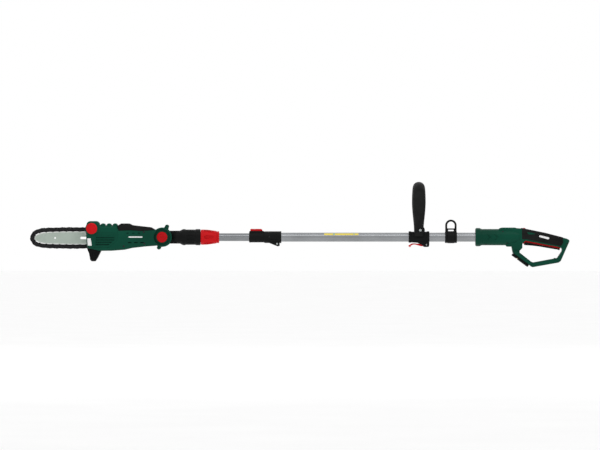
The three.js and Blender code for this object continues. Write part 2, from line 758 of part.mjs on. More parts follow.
function telescopeClamp() {
  const { front, step, slim, stout } = CLAMP;
  const body = turnedX([
    [front, 0],
    [front, slim - 1.2],
    [front + 2, slim],
    [step, slim],
    [step + 3, stout],
    [-2, stout],
    [0, stout - 1.4],
    [0, 0],
  ]);
  const turret = slab(
    outline([[-105, 8], [-105, 20], [-100, 24], [-64, 24], [-57, 19], [-50, 8]], 3),
    -9,
    9,
    { edge: 1.5 },
  );
  const ear = slab(outline([[-43, -12], [-42, -19], [-12, -30.5], [-6, -29], [-7, -12]], 3), -12, 12, { edge: 1.5 });
  const well = box([RELEASE.from - GAP, -RELEASE.half - GAP, 14.6], [RELEASE.to + GAP, RELEASE.half + GAP, 30]);
  const pinHole = rodZ(8, 20, 3.3, { x: -82 });
  const slit = box([-38, -1, -40], [1, 1, 0]);
  const screw = rodY(-20, 20, 2.3, { x: -13.9, z: -22, sides: 12 });
  const heads = [[-16, -8.5], [8.5, 16]].map(([y0, y1]) => rodY(y0, y1, 4.3, { x: -13.9, z: -22, sides: 16 }));
  const slimBore = rodX(front - 1, -49, INNER_TUBE.radius + GAP, { sides: 20 });
  const rear = rodX(-50.6, 1, OUTER_TUBE.radius + GAP, { sides: 20 });
  const boss = rodY(-25, -16.3, 2.2, { x: -39.3, z: 1, sides: 12 });
  return cut(join(body, turret, ear), well, pinHole, slit, screw, heads, slimBore, rear, boss);
}

/** The red button with the pin that reaches down to the inner tube. */
function releaseButton() {
  const { from, to, top, half } = RELEASE;
  const side = outline([[from, 18.6], [from + 1, top], [to - 8, top], [to, 24.6], [to, 18.6]], 2);
  const cap = slab(side, -half, half, {
    edge: 0.8,
  });
  return join(cap, rodZ(15.3, 20, 2.9, { x: -82, sides: 14 }));
}

const releaseSpring = () => coilSpring(15.2, 18, { radius: 3.6, wire: 0.45, turns: 2.5, x: -92 });

// ---- Front handle (from its pivot bolt, along the pole) ------------------------------------------------

const CARRIAGE = { front: -37.6, rear: 30.7, radius: 18.6, leg: 16.2 };
const LEVER = { x: 20.8, z: -25.2, tip: -38.3 };

function carriageBody() {
  const { front, rear, radius, leg } = CARRIAGE;
  const sleeve = turnedX([
    [front, 0],
    [front, radius - 2],
    [front + 2, radius],
    [rear - 2, radius],
    [rear, radius - 2],
    [rear, 0],
  ]);
  const collars = [front + 4, rear - 4].map((x) => rodX(x - 4, x + 4, radius + 0.8));
  const boss = slab(outline([[-17, 0], [-14, 22], [-8, 31], [8, 31], [14, 22], [17, 0]], 5), -leg, leg, { edge: 1 });
  const yoke = slab(outline([[6, -6], [8, -24], [13, -32.5], [29, -32.5], [30.5, -27], [30.5, -6]], 4), -12, 12, {
    edge: 1.5,
  });
  const leverSlot = box([-40, -7, -50], [27, 7, -16.6]);
  const slit = box([front - 1, -20, -1], [rear + 1, -13, 1]).translate([0, 0, -12]);
  return cut(
    join(sleeve, collars, boss, yoke),
    leverSlot,
    slit,
    rodX(front - 1, rear + 1, OUTER_TUBE.radius + GAP, { sides: 20 }),
    rodY(-40, 40, 3.4, { z: FRONT_HANDLE.bolt, sides: 16 }),
    rodY(-40, 40, 2.3, { x: LEVER.x, z: LEVER.z, sides: 14 }),
  );
}

function clampLever() {
  const { x, z, tip } = LEVER;
  const shape = outline(
    [
      [x + 4, z + 3],
      [x - 8, z + 2.4],
      [-12, -21.2],
      [-26, -21],
      [tip + 2, -26],
      [tip, -29.5],
      [tip + 4, -31],
      [-24, -26],
      [-12, -26.4],
      [4, -30.4],
      [x + 1, z - 4.6],
      [x + 5, z - 2],
    ],
    2.5,
  );
  const cam = rodY(-6.6, 6.6, 5.2, { x, z, sides: 20 });
  return cut(join(slab(shape, -6.6, 6.6, { edge: 1 }), cam), rodY(-20, 20, 2.3, { x, z, sides: 14 }));
}

const leverPin = () => rodY(-12.4, 12.4, 2, { x: LEVER.x, z: LEVER.z, sides: 14 });

/** The front handle's loop: an oval section swept up one leg, across the top and down the other. */
function frontHandle() {
  const { bolt, top, halfWidth, section } = FRONT_HANDLE;
  const [halfX, half] = section;
  const LEAN = -4;
  const SIDES = 12;
  const reach = halfWidth - half - 1.2;
  const over = top - half - 1.1;
  const foot = CARRIAGE.leg + GAP + 4.6;
  const leg = [
    [foot, 4],
    [foot, 30],
    [reach - 12, 66],
    [reach, 96],
    [reach, over - 42],
    [reach - 12, over - 12],
    [reach - 40, over],
  ];
  const mirrored = leg.map(([y, z]) => [-y, z]).reverse();
  const points = [...leg, ...mirrored].map(([y, z]) => new THREE.Vector3(LEAN, y, z));
  const path = new THREE.CatmullRomCurve3(points, false, "catmullrom", 0.4);
  const oval = new THREE.Shape();
  for (let i = 0; i < SIDES; i++) {
    const angle = (2 * Math.PI * i) / SIDES;
    const at = [halfX * Math.cos(angle), half * Math.sin(angle)];
    if (i === 0) oval.moveTo(...at);
    else oval.lineTo(...at);
  }
  const sweep = solidOf(
    new THREE.ExtrudeGeometry(oval, { steps: 30, extrudePath: path, bevelEnabled: false }),
  );
  const legRoom = box([-40, -CARRIAGE.leg - GAP, -30], [40, CARRIAGE.leg + GAP, 64]);
  const flats = [-1, 1].map((side) => {
    const outer = CARRIAGE.leg + GAP + 9.5;
    const [y0, y1] = side > 0 ? [outer, 80] : [-80, -outer];
    return box([-40, y0, -30], [40, y1, bolt + 9]);
  });
  const tubeRoom = rodX(-60, 60, CARRIAGE.radius + 1.2);
  const ends = box([-60, -80, -40], [60, 80, 1]);
  const swing = CARRIAGE.radius + 1.6; // the legs stand off the sleeve all round their pivot pads
  const pads = rodY(-swing - 1, swing + 1, 9.5, { z: bolt });
  const relief = cut(box([-40, -swing, -30], [40, swing, bolt + 8]), pads);
  return cut(sweep, legRoom, flats, tubeRoom, relief, ends, rodY(-60, 60, 3.4, { z: bolt, sides: 16 }));
}

function pivotBolt() {
  const { bolt } = FRONT_HANDLE;
  const out = CARRIAGE.leg + GAP + 9.5;
  const shank = rodY(-out - 1, out + 6, 3, { z: bolt, sides: 14 });
  const head = turnedY([[-out - 3.4, 0], [-out - 3.4, 3.4], [-out - GAP, 5], [-out - GAP, 0]], {
    z: bolt,
    sides: 20,
  });
  return cut(join(shank, head), rodY(-out - 5, -out - 1.8, 2, { z: bolt, sides: 6 }));
}

function pivotNut() {
  const { bolt } = FRONT_HANDLE;
  const out = CARRIAGE.leg + GAP + 9.5;
  const hexagon = rodY(out + GAP, out + 5, 5.6, { z: bolt, sides: 6 });
  return cut(hexagon, rodY(out - 2, out + 9, 3 + GAP, { z: bolt, sides: 14 }));
}

// ---- Strap eye (from its middle, along the pole) -------------------------------------------------------

function strapEye() {
  const half = 3;
  const ring = new THREE.Shape();
  ring.moveTo(-18.8, 17);
  ring.lineTo(-18.8, 39.1);
  ring.absarc(0, 39.1, 18.8, Math.PI, 0, true);
  ring.lineTo(18.8, 17);
  const plate = slab(ring, -half, half);
  const eye = new THREE.Shape();
  eye.moveTo(-13.2, 30);
  eye.lineTo(-13.2, 39.1);
  eye.absarc(0, 39.1, 13.2, Math.PI, 0, true);
  eye.lineTo(13.2, 30);
  const slot = box([-9, -9, 19.8], [9, 9, 24.6]);
  const band = cut(rodX(-19.6, 19.6, 19.4), rodX(-12, 12, 30).subtract(rodX(-13, 13, 18.6)));
  const bore = rodX(-30, 30, OUTER_TUBE.radius + GAP, { sides: 20 });
  const split = box([-30, -1.2, -30], [30, 1.2, -10]);
  return cut(join(cut(plate, slab(eye, -9, 9), slot), band), bore, split);
}

/** The band that closes the strap eye round the pole, lying in its groove. */
function strapBand() {
  const ring = cut(rodX(-11.7, 11.7, 20.2), rodX(-20, 20, 18.9));
  const gap = box([-20, -5, 10], [20, 5, 40]);
  return cut(ring, gap);
}

// ---- Rear housing (from its front face) ----------------------------------------------------------------

const rearSpine = [
  [118, 31.4],
  [157.7, 27.9],
  [301.3, -4.8],
  [311.8, -10.1],
  [281.5, -78.7],
  [274.5, -84],
  [187, -99.5],
  [179, -93.4],
  [123, -51.6],
  [119, -30.9],
  [112, -24],
  [112, 26],
];
const handHole = [
  [154.5, -36],
  [154.5, -24],
  [163.5, -10.4],
  [270, -31.4],
  [284, -34],
  [284, -48],
  [269.9, -68.8],
  [190.7, -83.3],
  [184.5, -81.5],
  [144.5, -50],
  [144.5, -46],
];
const TRIGGER = { pivot: [272, -26], half: 7.5 };
const RAIL = { x: 150.4, z: -72.3, slope: 36.6, length: 64 }; // the battery slides on down this slope

function rearShell() {
  const spine = outline(rearSpine, 9);
  const barrel = turnedX([
    [0, 0],
    [0, 28],
    [3, 30.4],
    [15, 30.4],
    [21, 27],
    [112, 27],
    [124, 27.5],
    [146, 24],
    [146, 0],
  ]);
  const hump = slab(outline([[74, 10], [80, 31.8], [131, 31.8], [140, 28], [140, 10]], 4), -16, 16, { edge: 5 });
  const belly = slab(outline([[98, -10], [101, -31.5], [119, -31.5], [126, -10]], 4), -16, 16, { edge: 4 });
  const loop = slab(spine, -GRIP_HALF, GRIP_HALF, { edge: 7 });
  const foot = slab(
    outline([[124, -52.2], [177, -91.6], [186, -84], [143, -50], [133, -44]], 3),
    -FOOT_HALF,
    FOOT_HALF,
    { edge: 4 },
  );
  return join(barrel, hump, belly, loop, foot);
}

function rearHollow() {
  const upper = [[118, 27], [156, 24], [296, -8], [303, -12], [300, -22], [278, -32], [160, -12], [150, -18]];
  const leg = [[150, -24], [124, -22], [127, -50], [172, -84], [175, -80], [138, -50], [136, -44]];
  const room = slab(outline(upper, 4), -GRIP_HALF + WALL, GRIP_HALF - WALL, { edge: 4 });
  const legRoom = slab(outline(leg, 4), -GRIP_HALF + WALL, GRIP_HALF - WALL, { edge: 4 });
  const barrel = turnedX([[22, 0], [22, 23.6], [140, 23.6], [146, 20], [146, 0]]);
  const front = rodX(-1, 24, OUTER_TUBE.radius + GAP, { sides: 20 });
  const triggerRoom = slab(outline([[155, 4], [155, -30], [284, -50], [284, -18], [268, -12]]), -8, 8);
  const button = box([154.4, -5.6, 10], [167.6, 5.6, 40]);
  const contacts = box([-23, -10, -6], [7, 10, 6]).rotate([0, RAIL.slope, 0]).translate([RAIL.x, 0, RAIL.z]);
  const pin = rodY(-12.4, 12.4, 2.3, { x: TRIGGER.pivot[0], z: TRIGGER.pivot[1], sides: 14 });
  return join(room, legRoom, barrel, front, triggerRoom, button, contacts, pin);
}

function rearCasing() {
  const hand = slab(outline(handHole, 5), -60, 60);
  return cut(rearShell(), hand, rearHollow());
}

/** The soft skin over the grip, a thin layer on both flanks of the handle. */
function softGrip(side) {
  const [y0, y1] = side === "left" ? [-GRIP_HALF - 1.6, -GRIP_HALF - GAP] : [GRIP_HALF + GAP, GRIP_HALF + 1.6];
  const patch = outline([[152, 18], [159, 20], [284, -9], [290, -19], [283, -31], [168, -7], [158, -9]], 5);
  return slab(patch, y0, y1);
}

function trigger() {
  const lever = outline(
    [
      [164, -5.5],
      [200, -12.4],
      [262, -22],
      [267, -19.5],
      [277, -20],
      [279.5, -38.4],
      [270, -37],
      [165, -16.4],
      [158.8, -23],
      [156.4, -20.2],
      [160, -12],
    ],
    2,
  );
  const [x, z] = TRIGGER.pivot;
  const { half } = TRIGGER;
  return cut(slab(lever, -half, half, { edge: 1 }), rodY(-20, 20, 2.3, { x, z, sides: 14 }));
}

/** The soft black face that the fingers press, along the underside of the trigger. */
function triggerPad() {
  const strip = outline(
    [
      [165.4, -16.9],
      [270, -37.5],
      [278.6, -38.9],
      [277.6, -43.6],
      [271, -41.1],
      [247.5, -35.3],
      [208, -28.2],
      [163, -25.8],
      [159.4, -23.4],
    ],
    1.5,
  );
  return slab(strip, -TRIGGER.half, TRIGGER.half);
}

const triggerPin = () => rodY(-12, 12, 2, { x: TRIGGER.pivot[0], z: TRIGGER.pivot[1], sides: 14 });

function triggerSpring() {
  return coilSpring(-9.4, 2, { radius: 3, wire: 0.5, turns: 4, x: 188 });
}

function microSwitch() {
  const body = box([196, -6, -4], [218, 6, 6]);
  const plunger = rodZ(-7.4, -3, 1.4, { x: 201, sides: 10 });
  return join(body, plunger);
}

function lockButton() {
  const cap = slab(outline([[156.1, 14], [156.1, 30.6], [164.6, 30.2], [166, 27], [166, 14]], 2), -4.8, 4.8, {
    edge: 0.8,
  });
  return cap;
}

const lockSpring = () => coilSpring(4, 13.6, { radius: 2.8, wire: 0.5, turns: 3.5, x: 161 });

const controlBoard = () =>
  join(box([80, -15, -3], [136, 15, -1.4]), box([84, -10, -1.6], [96, 8, 7]), box([104, -12, -1.6], [128, 4, 5]));

/** The battery's slide: two notched rails on a plate along the foot's slanted face. */
function batteryRails() {
  const end = RAIL.length / 2;
  const plate = box([-end, -27, -2.4], [end, 27, -GAP]);
  const rails = [-1, 1].flatMap((side) => [
    box([-end, side * 22 - 3, -6], [end, side * 22 + 3, -2]),
    box([-end, side * 20.5 - 5.5, -8], [end, side * 20.5 + 5.5, -5.6]),
  ]);
  const notches = [-16, 8].map((x) => box([x, -40, -9], [x + 8, 40, -4]));
  const window = box([-22, -9.5, -4], [6, 9.5, 1]);
  return cut(join(plate, rails), notches, window);
}

function batteryTerminals() {
  const block = box([-21, -9, -1], [5, 9, 2.4]);
  const blades = [-6, 0, 6].map((y) => box([-18, y - 0.5, -6.5], [2, y + 0.5, -0.5]));
  return join(block, blades);
}

// ---- Assembly -----------------------------------------------------------------------------------------

const headShell = headCasing();
const head = station(
  TILT_X,
  piece("guide_bar", guideBar(), "barSteel"),
  piece("saw_chain", sawChain(), "chainSteel"),
  piece("nose_sprocket", noseSprocket(), "steel"),
  piece("sprocket_shaft", sprocketShaft(), "steel"),
  piece("bevel_gear", bevelGear(), "steel"),
  piece("drive_sprocket", driveSprocket(), "steel"),
  piece("shaft_bearing", bearing(15.2, 19), "steel"),
  piece("motor_shaft", motorShaft(), "steel"),
  piece("motor", motorCan(), "steel"),
  piece("head_housing_left", halfOf(headShell, "left"), "green"),
  piece("head_housing_right", halfOf(headShell, "right"), "green"),
  piece("head_grip_insert", headInsert(), "rubber"),
  piece("oil_cap", oilCap(), "red"),
  piece("oil_cap_seal", oilCapSeal(), "rubber"),
  piece("oil_tank", oilTank(), "tank"),
  piece("oil_pump", oilPump(), "black"),
  piece("branch_hook", branchHook(), "black"),
  piece("sprocket_cover", sprocketCover(), "black"),
  piece("cover_knob", coverKnob(), "red"),
  piece("bar_stud", barStud(), "steel"),
  piece("tension_screw", tensionScrew(), "steel"),
  piece("tension_pin", tensionPin(), "steel"),
  piece("tilt_button", tiltButton(), "red"),
  piece("tilt_lock_star", tiltLockStar(), "steel"),
  piece("tilt_spring", tiltSpring(), "steel"),
  piece("tilt_bolt", tiltBolt(), "steel"),
);

const neckShell = neckCasing();
const neck = station(
  TILT_X,
  piece("neck_left", halfOf(neckShell, "left"), "black"),
  piece("neck_right", halfOf(neckShell, "right"), "black"),
  piece("union_nut", unionNut(), "red"),
  piece("collet", collet(), "black"),
);

const pole = station(
  0,
  piece("inner_tube", groovedTube(INNER_TUBE), "aluminium"),
  piece("slide_bush", slideBush(), "black"),
  piece("outer_tube", groovedTube(OUTER_TUBE), "aluminium"),
  piece("coiled_lead", coiledLead(), "rubber"),
);

const telescope = station(
  CLAMP_X,
  piece("telescope_clamp", telescopeClamp(), "black"),
  piece("release_button", releaseButton(), "red"),
  piece("release_spring", releaseSpring(), "steel"),
  piece("clamp_screw", screwY(-11.4, 11, { x: -13.9, z: -22, radius: 4 }), "steel"),
);

const frontHandleSet = station(
  HANDLE_X,
  piece("handle_carriage", carriageBody(), "black"),
  piece("front_handle", frontHandle(), "black"),
  piece("pivot_bolt", pivotBolt(), "steel"),
  piece("pivot_nut", pivotNut(), "steel"),
  piece("clamp_lever", clampLever(), "red"),
  piece("lever_pin", leverPin(), "steel"),
);

const strap = station(
  STRAP_X,
  piece("strap_eye", strapEye(), "black"),
  piece("strap_band", strapBand(), "black"),
);

const rails = new THREE.Group();
rails.position.set(RAIL.x, 0, RAIL.z);
rails.rotation.y = THREE.MathUtils.degToRad(RAIL.slope);
rails.add(
  piece("battery_rails", batteryRails(), "black"),
  piece("battery_terminals", batteryTerminals(), "brass"),
);

const rearShellSolid = rearCasing();
const rear = station(
  REAR_X,
  piece("rear_housing_left", halfOf(rearShellSolid, "left"), "green"),
  piece("rear_housing_right", halfOf(rearShellSolid, "right"), "green"),
  piece("soft_grip_left", softGrip("left"), "rubber"),
  piece("soft_grip_right", softGrip("right"), "rubber"),
  piece("trigger", trigger(), "red"),
  piece("trigger_pad", triggerPad(), "rubber"),
  piece("trigger_pin", triggerPin(), "steel"),
  piece("trigger_spring", triggerSpring(), "steel"),
  piece("micro_switch", microSwitch(), "black"),
  piece("lock_button", lockButton(), "red"),
  piece("lock_spring", lockSpring(), "steel"),
  piece("control_board", controlBoard(), "board"),
  rails,
);

const saw = new THREE.Group();
saw.name = "telescoping_pole_saw";
saw.position.z = POLE_HEIGHT;
saw.add(head, neck, pole, telescope, frontHandleSet, strap, rear);

export default saw;
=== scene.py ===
"""A telescoping battery pole saw: its looks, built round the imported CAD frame.

Lengths inside the script are millimetres. A station is a place along the pole, taken from the frame, and a
piece's own coordinates are measured from the pole's axis at its station: x along the pole, y across, z up.
"""
import json
import math

import bmesh
import bpy
from mathutils import Matrix, Vector


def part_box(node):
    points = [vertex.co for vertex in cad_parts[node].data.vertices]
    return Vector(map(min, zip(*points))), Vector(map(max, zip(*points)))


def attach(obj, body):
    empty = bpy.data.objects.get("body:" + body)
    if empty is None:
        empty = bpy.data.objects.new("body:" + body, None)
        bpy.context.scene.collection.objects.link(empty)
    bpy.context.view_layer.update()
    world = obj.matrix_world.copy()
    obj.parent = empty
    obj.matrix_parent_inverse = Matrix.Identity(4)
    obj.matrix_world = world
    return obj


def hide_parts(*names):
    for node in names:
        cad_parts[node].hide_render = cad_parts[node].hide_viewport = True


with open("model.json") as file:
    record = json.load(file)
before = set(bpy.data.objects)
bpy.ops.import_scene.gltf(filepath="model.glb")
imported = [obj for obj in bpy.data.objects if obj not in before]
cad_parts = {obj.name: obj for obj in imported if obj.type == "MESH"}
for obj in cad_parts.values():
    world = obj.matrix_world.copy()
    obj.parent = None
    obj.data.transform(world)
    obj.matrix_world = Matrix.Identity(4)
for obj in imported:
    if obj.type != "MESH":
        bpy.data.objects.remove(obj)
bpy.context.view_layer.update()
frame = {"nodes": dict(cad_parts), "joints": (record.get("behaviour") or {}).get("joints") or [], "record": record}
MM = 0.001
JOINTS = {joint["name"]: joint for joint in frame["joints"]}
AXIS_Z = JOINTS["head_tilt"]["pos_m"][2] / MM  # height of the pole's axis


def low(node):
    """The lowest corner of a CAD node, in millimetres."""
    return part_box(node)[0] / MM


def high(node):
    """The highest corner of a CAD node, in millimetres."""
    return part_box(node)[1] / MM


TILT = JOINTS["head_tilt"]["pos_m"][0] / MM
FULL_TILT = math.radians(JOINTS["head_tilt"]["range_deg"][1])
CLAMP = high("telescope_clamp").x
HANDLE = JOINTS["handle_tilt"]["pos_m"][0] / MM
STRAP = (low("strap_eye").x + high("strap_eye").x) / 2
REAR = low("rear_housing_left").x

# Sizes that several pieces share, read off the frame.
HEAD_LEFT = low("head_housing_left").y
HEAD_RIGHT = high("sprocket_shaft").y - 12.5
BAR_Y = (low("guide_bar").y + high("guide_bar").y) / 2
BAR_Z = (low("guide_bar").z + high("guide_bar").z) / 2 - AXIS_Z
GRIP_HALF = low("soft_grip_right").y - 0.3
FOOT_HALF = high("rear_housing_right").y - 0.4
TUBE_R = high("outer_tube").z - AXIS_Z
INNER_R = high("inner_tube").z - AXIS_Z
SEAM = 0.15  # half the gap between two casing halves


# ---- Materials ----------------------------------------------------------------------------------------


class Nodes:
    """Short names for building one node tree."""

    def __init__(self, material):
        self.tree = material.node_tree
        self.shader = self.tree.nodes["Principled BSDF"]
        self.coordinates = self.tree.nodes.new("ShaderNodeTexCoord").outputs["Object"]

    def add(self, kind, **values):
        """A new node. Values name its input sockets."""
        node = self.tree.nodes.new(kind)
        for name, value in values.items():
            node.inputs[name.replace("_", " ")].default_value = value
        return node

    def link(self, output, node, socket):
        self.tree.links.new(output, node.inputs[socket])

    def noise(self, scale, stretch=(1, 1, 1), detail=3.0):
        """Noise in the part's own space, in metres. A small stretch draws it out along that axis."""
        mapping = self.add("ShaderNodeMapping", Scale=stretch)
        self.link(self.coordinates, mapping, "Vector")
        noise = self.add("ShaderNodeTexNoise", Scale=scale, Detail=detail)
        self.link(mapping.outputs["Vector"], noise, "Vector")
        return noise.outputs["Fac"]

    def ramp(self, factor, stops):
        """A colour ramp through (position, colour) stops."""
        ramp = self.add("ShaderNodeValToRGB")
        self.link(factor, ramp, "Fac")
        elements = ramp.color_ramp.elements
        while len(elements) < len(stops):
            elements.new(0.5)
        for element, (position, colour) in zip(elements, stops):
            element.position = position
            element.color = colour if len(colour) == 4 else (*colour, 1)
        return ramp.outputs["Color"]

    def spread(self, factor, lowest, highest):
        """Noise values turned into a range of roughness."""
        spread = self.add("ShaderNodeMapRange")
        spread.inputs["From Min"].default_value = 0.3
        spread.inputs["From Max"].default_value = 0.7
        spread.inputs["To Min"].default_value = lowest
        spread.inputs["To Max"].default_value = highest
        self.link(factor, spread, "Value")
        return spread.outputs["Result"]

    def bump(self, height, strength, distance):
        bump = self.add("ShaderNodeBump", Strength=strength, Distance=distance)
        self.link(height, bump, "Height")
        self.link(bump.outputs["Normal"], self.shader, "Normal")


def new_material(name):
    material = bpy.data.materials.new(name)
    material.use_nodes = True
    return material, Nodes(material)


def tinted(colour, factor):
    return tuple(min(1.0, channel * factor) for channel in colour)


PLASTIC_SHEEN = 0.06  # low, so that dark colours stay deep under the white sky


def plastic(name, colour, roughness=0.42, grain=0.25):
    """Moulded plastic: fine spark-eroded grain, faint clouding and handling marks in its gloss."""
    material, nodes = new_material(name)
    clouds = nodes.noise(9, detail=4)
    marks = nodes.noise(34, detail=6)
    tint = nodes.ramp(clouds, [(0.3, tinted(colour, 0.82)), (0.7, tinted(colour, 1.16))])
    nodes.link(tint, nodes.shader, "Base Color")
    nodes.link(nodes.spread(marks, roughness - 0.07, roughness + 0.1), nodes.shader, "Roughness")
    nodes.shader.inputs["Specular IOR Level"].default_value = PLASTIC_SHEEN
    nodes.bump(nodes.noise(1400, detail=2), grain, 0.0002)
    return material


def rubber(name, colour):
    """Soft overmould: matt, with a leathery pebble."""
    material, nodes = new_material(name)
    dust = nodes.noise(22, detail=6)
    tint = nodes.ramp(dust, [(0.35, tinted(colour, 0.8)), (0.72, tinted(colour, 1.7))])
    nodes.link(tint, nodes.shader, "Base Color")
    nodes.link(nodes.spread(nodes.noise(60), 0.5, 0.68), nodes.shader, "Roughness")
    nodes.shader.inputs["Specular IOR Level"].default_value = 0.08
    nodes.bump(nodes.noise(900, detail=3), 0.35, 0.0003)
    return material


def drawn_metal(name, colour, roughness, along="x", metallic=1.0, scratch=0.12):
    """Metal with fine drawing lines along one axis, a little tarnish and light scratches."""
    material, nodes = new_material(name)
    stretch = {"x": (0.02, 1, 1), "y": (1, 0.02, 1), "z": (1, 1, 0.02)}[along]
    lines = nodes.noise(1500, stretch=stretch, detail=4)
    stain = nodes.noise(14, detail=5)
    tint = nodes.ramp(stain, [(0.3, tinted(colour, 0.86)), (0.7, tinted(colour, 1.06))])
    nodes.link(tint, nodes.shader, "Base Color")
    nodes.shader.inputs["Metallic"].default_value = metallic
    nodes.link(nodes.spread(lines, roughness - 0.07, roughness + 0.12), nodes.shader, "Roughness")
    nodes.bump(lines, scratch, 0.00006)
    return material


def oiled_steel(name, colour):
    """Dark chain steel with oily patches."""
    material, nodes = new_material(name)
    oil = nodes.noise(260, detail=5)
    tint = nodes.ramp(oil, [(0.35, tinted(colour, 0.6)), (0.68, tinted(colour, 2.4))])
    nodes.link(tint, nodes.shader, "Base Color")
    nodes.shader.inputs["Metallic"].default_value = 0.55
    nodes.shader.inputs["Specular IOR Level"].default_value = 0.1
    nodes.link(nodes.spread(oil, 0.26, 0.52), nodes.shader, "Roughness")
    nodes.bump(nodes.noise(1800), 0.2, 0.0001)
    return material


def printed(name, ground, mark, rows, columns):
    """A plain printed label: broken rules on a ground, with no lettering."""
    material, nodes = new_material(name)
    split = nodes.add("ShaderNodeSeparateXYZ")
    nodes.link(nodes.coordinates, split, "Vector")

    def stripe(axis, pitch, share):
        wave = nodes.add("ShaderNodeMath")
        wave.operation = "FRACT"
        scaled = nodes.add("ShaderNodeMath")
        scaled.operation = "MULTIPLY"
        scaled.inputs[1].default_value = 1 / (pitch * MM)
        nodes.link(split.outputs[axis], scaled, 0)
        nodes.link(scaled.outputs[0], wave, 0)
        under = nodes.add("ShaderNodeMath")
        under.operation = "LESS_THAN"
        under.inputs[1].default_value = share
        nodes.link(wave.outputs[0], under, 0)
        return under.outputs[0]

    both = nodes.add("ShaderNodeMath")
    both.operation = "MULTIPLY"
    nodes.link(stripe("Z", rows, 0.34), both, 0)
    nodes.link(stripe("X", columns, 0.62), both, 1)
    paper = nodes.ramp(nodes.noise(120), [(0.3, tinted(ground, 0.93)), (0.7, ground)])
    mix = nodes.add("ShaderNodeMix")
    mix.data_type = "RGBA"
    nodes.link(both.outputs[0], mix, 0)
    nodes.link(paper, mix, 6)
    mix.inputs[7].default_value = (*mark, 1)
    nodes.link(mix.outputs[2], nodes.shader, "Base Color")
    nodes.link(nodes.spread(nodes.noise(80), 0.3, 0.45), nodes.shader, "Roughness")
    return material


GREEN = plastic("bottle_green", (0.0022, 0.046, 0.027), 0.36)
RED = plastic("signal_red", (0.43, 0.0055, 0.008), 0.3, grain=0.12)
BLACK = plastic("black_nylon", (0.0055, 0.006, 0.006), 0.4, grain=0.35)
RUBBER = rubber("black_rubber", (0.0058, 0.006, 0.0058))
TUBE = drawn_metal("anodised_tube", (0.27, 0.28, 0.29), 0.24)
INNER = drawn_metal("anodised_inner_tube", (0.22, 0.23, 0.24), 0.24)
BAR = drawn_metal("bar_steel", (0.36, 0.42, 0.37), 0.42, metallic=0.6, scratch=0.25)
RAIL = drawn_metal("bar_rail", (0.46, 0.50, 0.46), 0.3, metallic=0.8)
CHAIN = oiled_steel("chain_steel", (0.011, 0.011, 0.0115))
STEEL = drawn_metal("zinc_steel", (0.40, 0.43, 0.42), 0.3, along="y")
BLACK_STEEL = drawn_metal("blackened_steel", (0.03, 0.031, 0.032), 0.36, along="y")
BRASS = drawn_metal("brass", (0.62, 0.47, 0.20), 0.3)
BOARD = plastic("board_green", (0.02, 0.13, 0.05), 0.4)
TANK = plastic("tank_plastic", (0.72, 0.69, 0.58), 0.35)
WHITE_LABEL = printed("white_label", (0.80, 0.80, 0.79), (0.30, 0.30, 0.31), 4.0, 5.2)
CYAN_INK = plastic("cyan_ink", (0.02, 0.35, 0.42), 0.35)
YELLOW_LABEL = printed("yellow_label", (0.78, 0.62, 0.06), (0.12, 0.11, 0.05), 3.1, 4.4)

SLOT_MATERIAL = {
    "green_plastic": GREEN,
    "red_plastic": RED,
    "black_plastic": BLACK,
    "soft_rubber": RUBBER,
    "tube_aluminium": TUBE,
    "bar_steel": BAR,
    "chain_steel": CHAIN,
    "steel": STEEL,
    "brass": BRASS,
    "board_green": BOARD,
    "tank_plastic": TANK,
}
SLOT_OF = {material.name: name for name, material in SLOT_MATERIAL.items()}
SLOT_OF.update(
    anodised_inner_tube="tube_aluminium",
    bar_rail="bar_steel",
    blackened_steel="steel",
    cyan_ink="tank_plastic",
    white_label="tank_plastic",
    yellow_label="tank_plastic",
)


def finish_cad_nodes():
    """Gives every CAD node the material of its slot."""
    for part in frame["record"]["subparts"]:
        node = frame["nodes"][part["node"]]
        node.data.materials.clear()
        node.data.materials.append(SLOT_MATERIAL[part["material_slot"]])


# ---- Shapes -------------------------------------------------------------------------------------------


def at(station):
    """Moves a piece's own coordinates to its station on the pole."""
    return Matrix.Translation(Vector((station, 0, AXIS_Z)))


def shifted(place, x, z):
    """A place moved along the pole and up."""
    return place @ Matrix.Translation((x, 0, z))


def turns(count, axis, start=0.0):
    """Equal turns about an axis, from a starting angle in degrees."""
    return [Matrix.Rotation(math.radians(index * 360 / count + start), 4, axis) for index in range(count)]


def solid(name, vertices, faces, place=None):
    """A mesh object from points in millimetres, in the piece's own coordinates."""
    mesh = bpy.data.meshes.new(name)
    matrix = Matrix.Scale(MM, 4) @ (place or Matrix.Identity(4))
    mesh.from_pydata([matrix @ Vector(vertex) for vertex in vertices], [], faces)
    shape = bmesh.new()
    shape.from_mesh(mesh)
    bmesh.ops.remove_doubles(shape, verts=shape.verts, dist=1e-6)
    bmesh.ops.recalc_face_normals(shape, faces=shape.faces)
    shape.to_mesh(mesh)
    shape.free()
    obj = bpy.data.objects.new(name, mesh)
    bpy.context.scene.collection.objects.link(obj)
    return obj


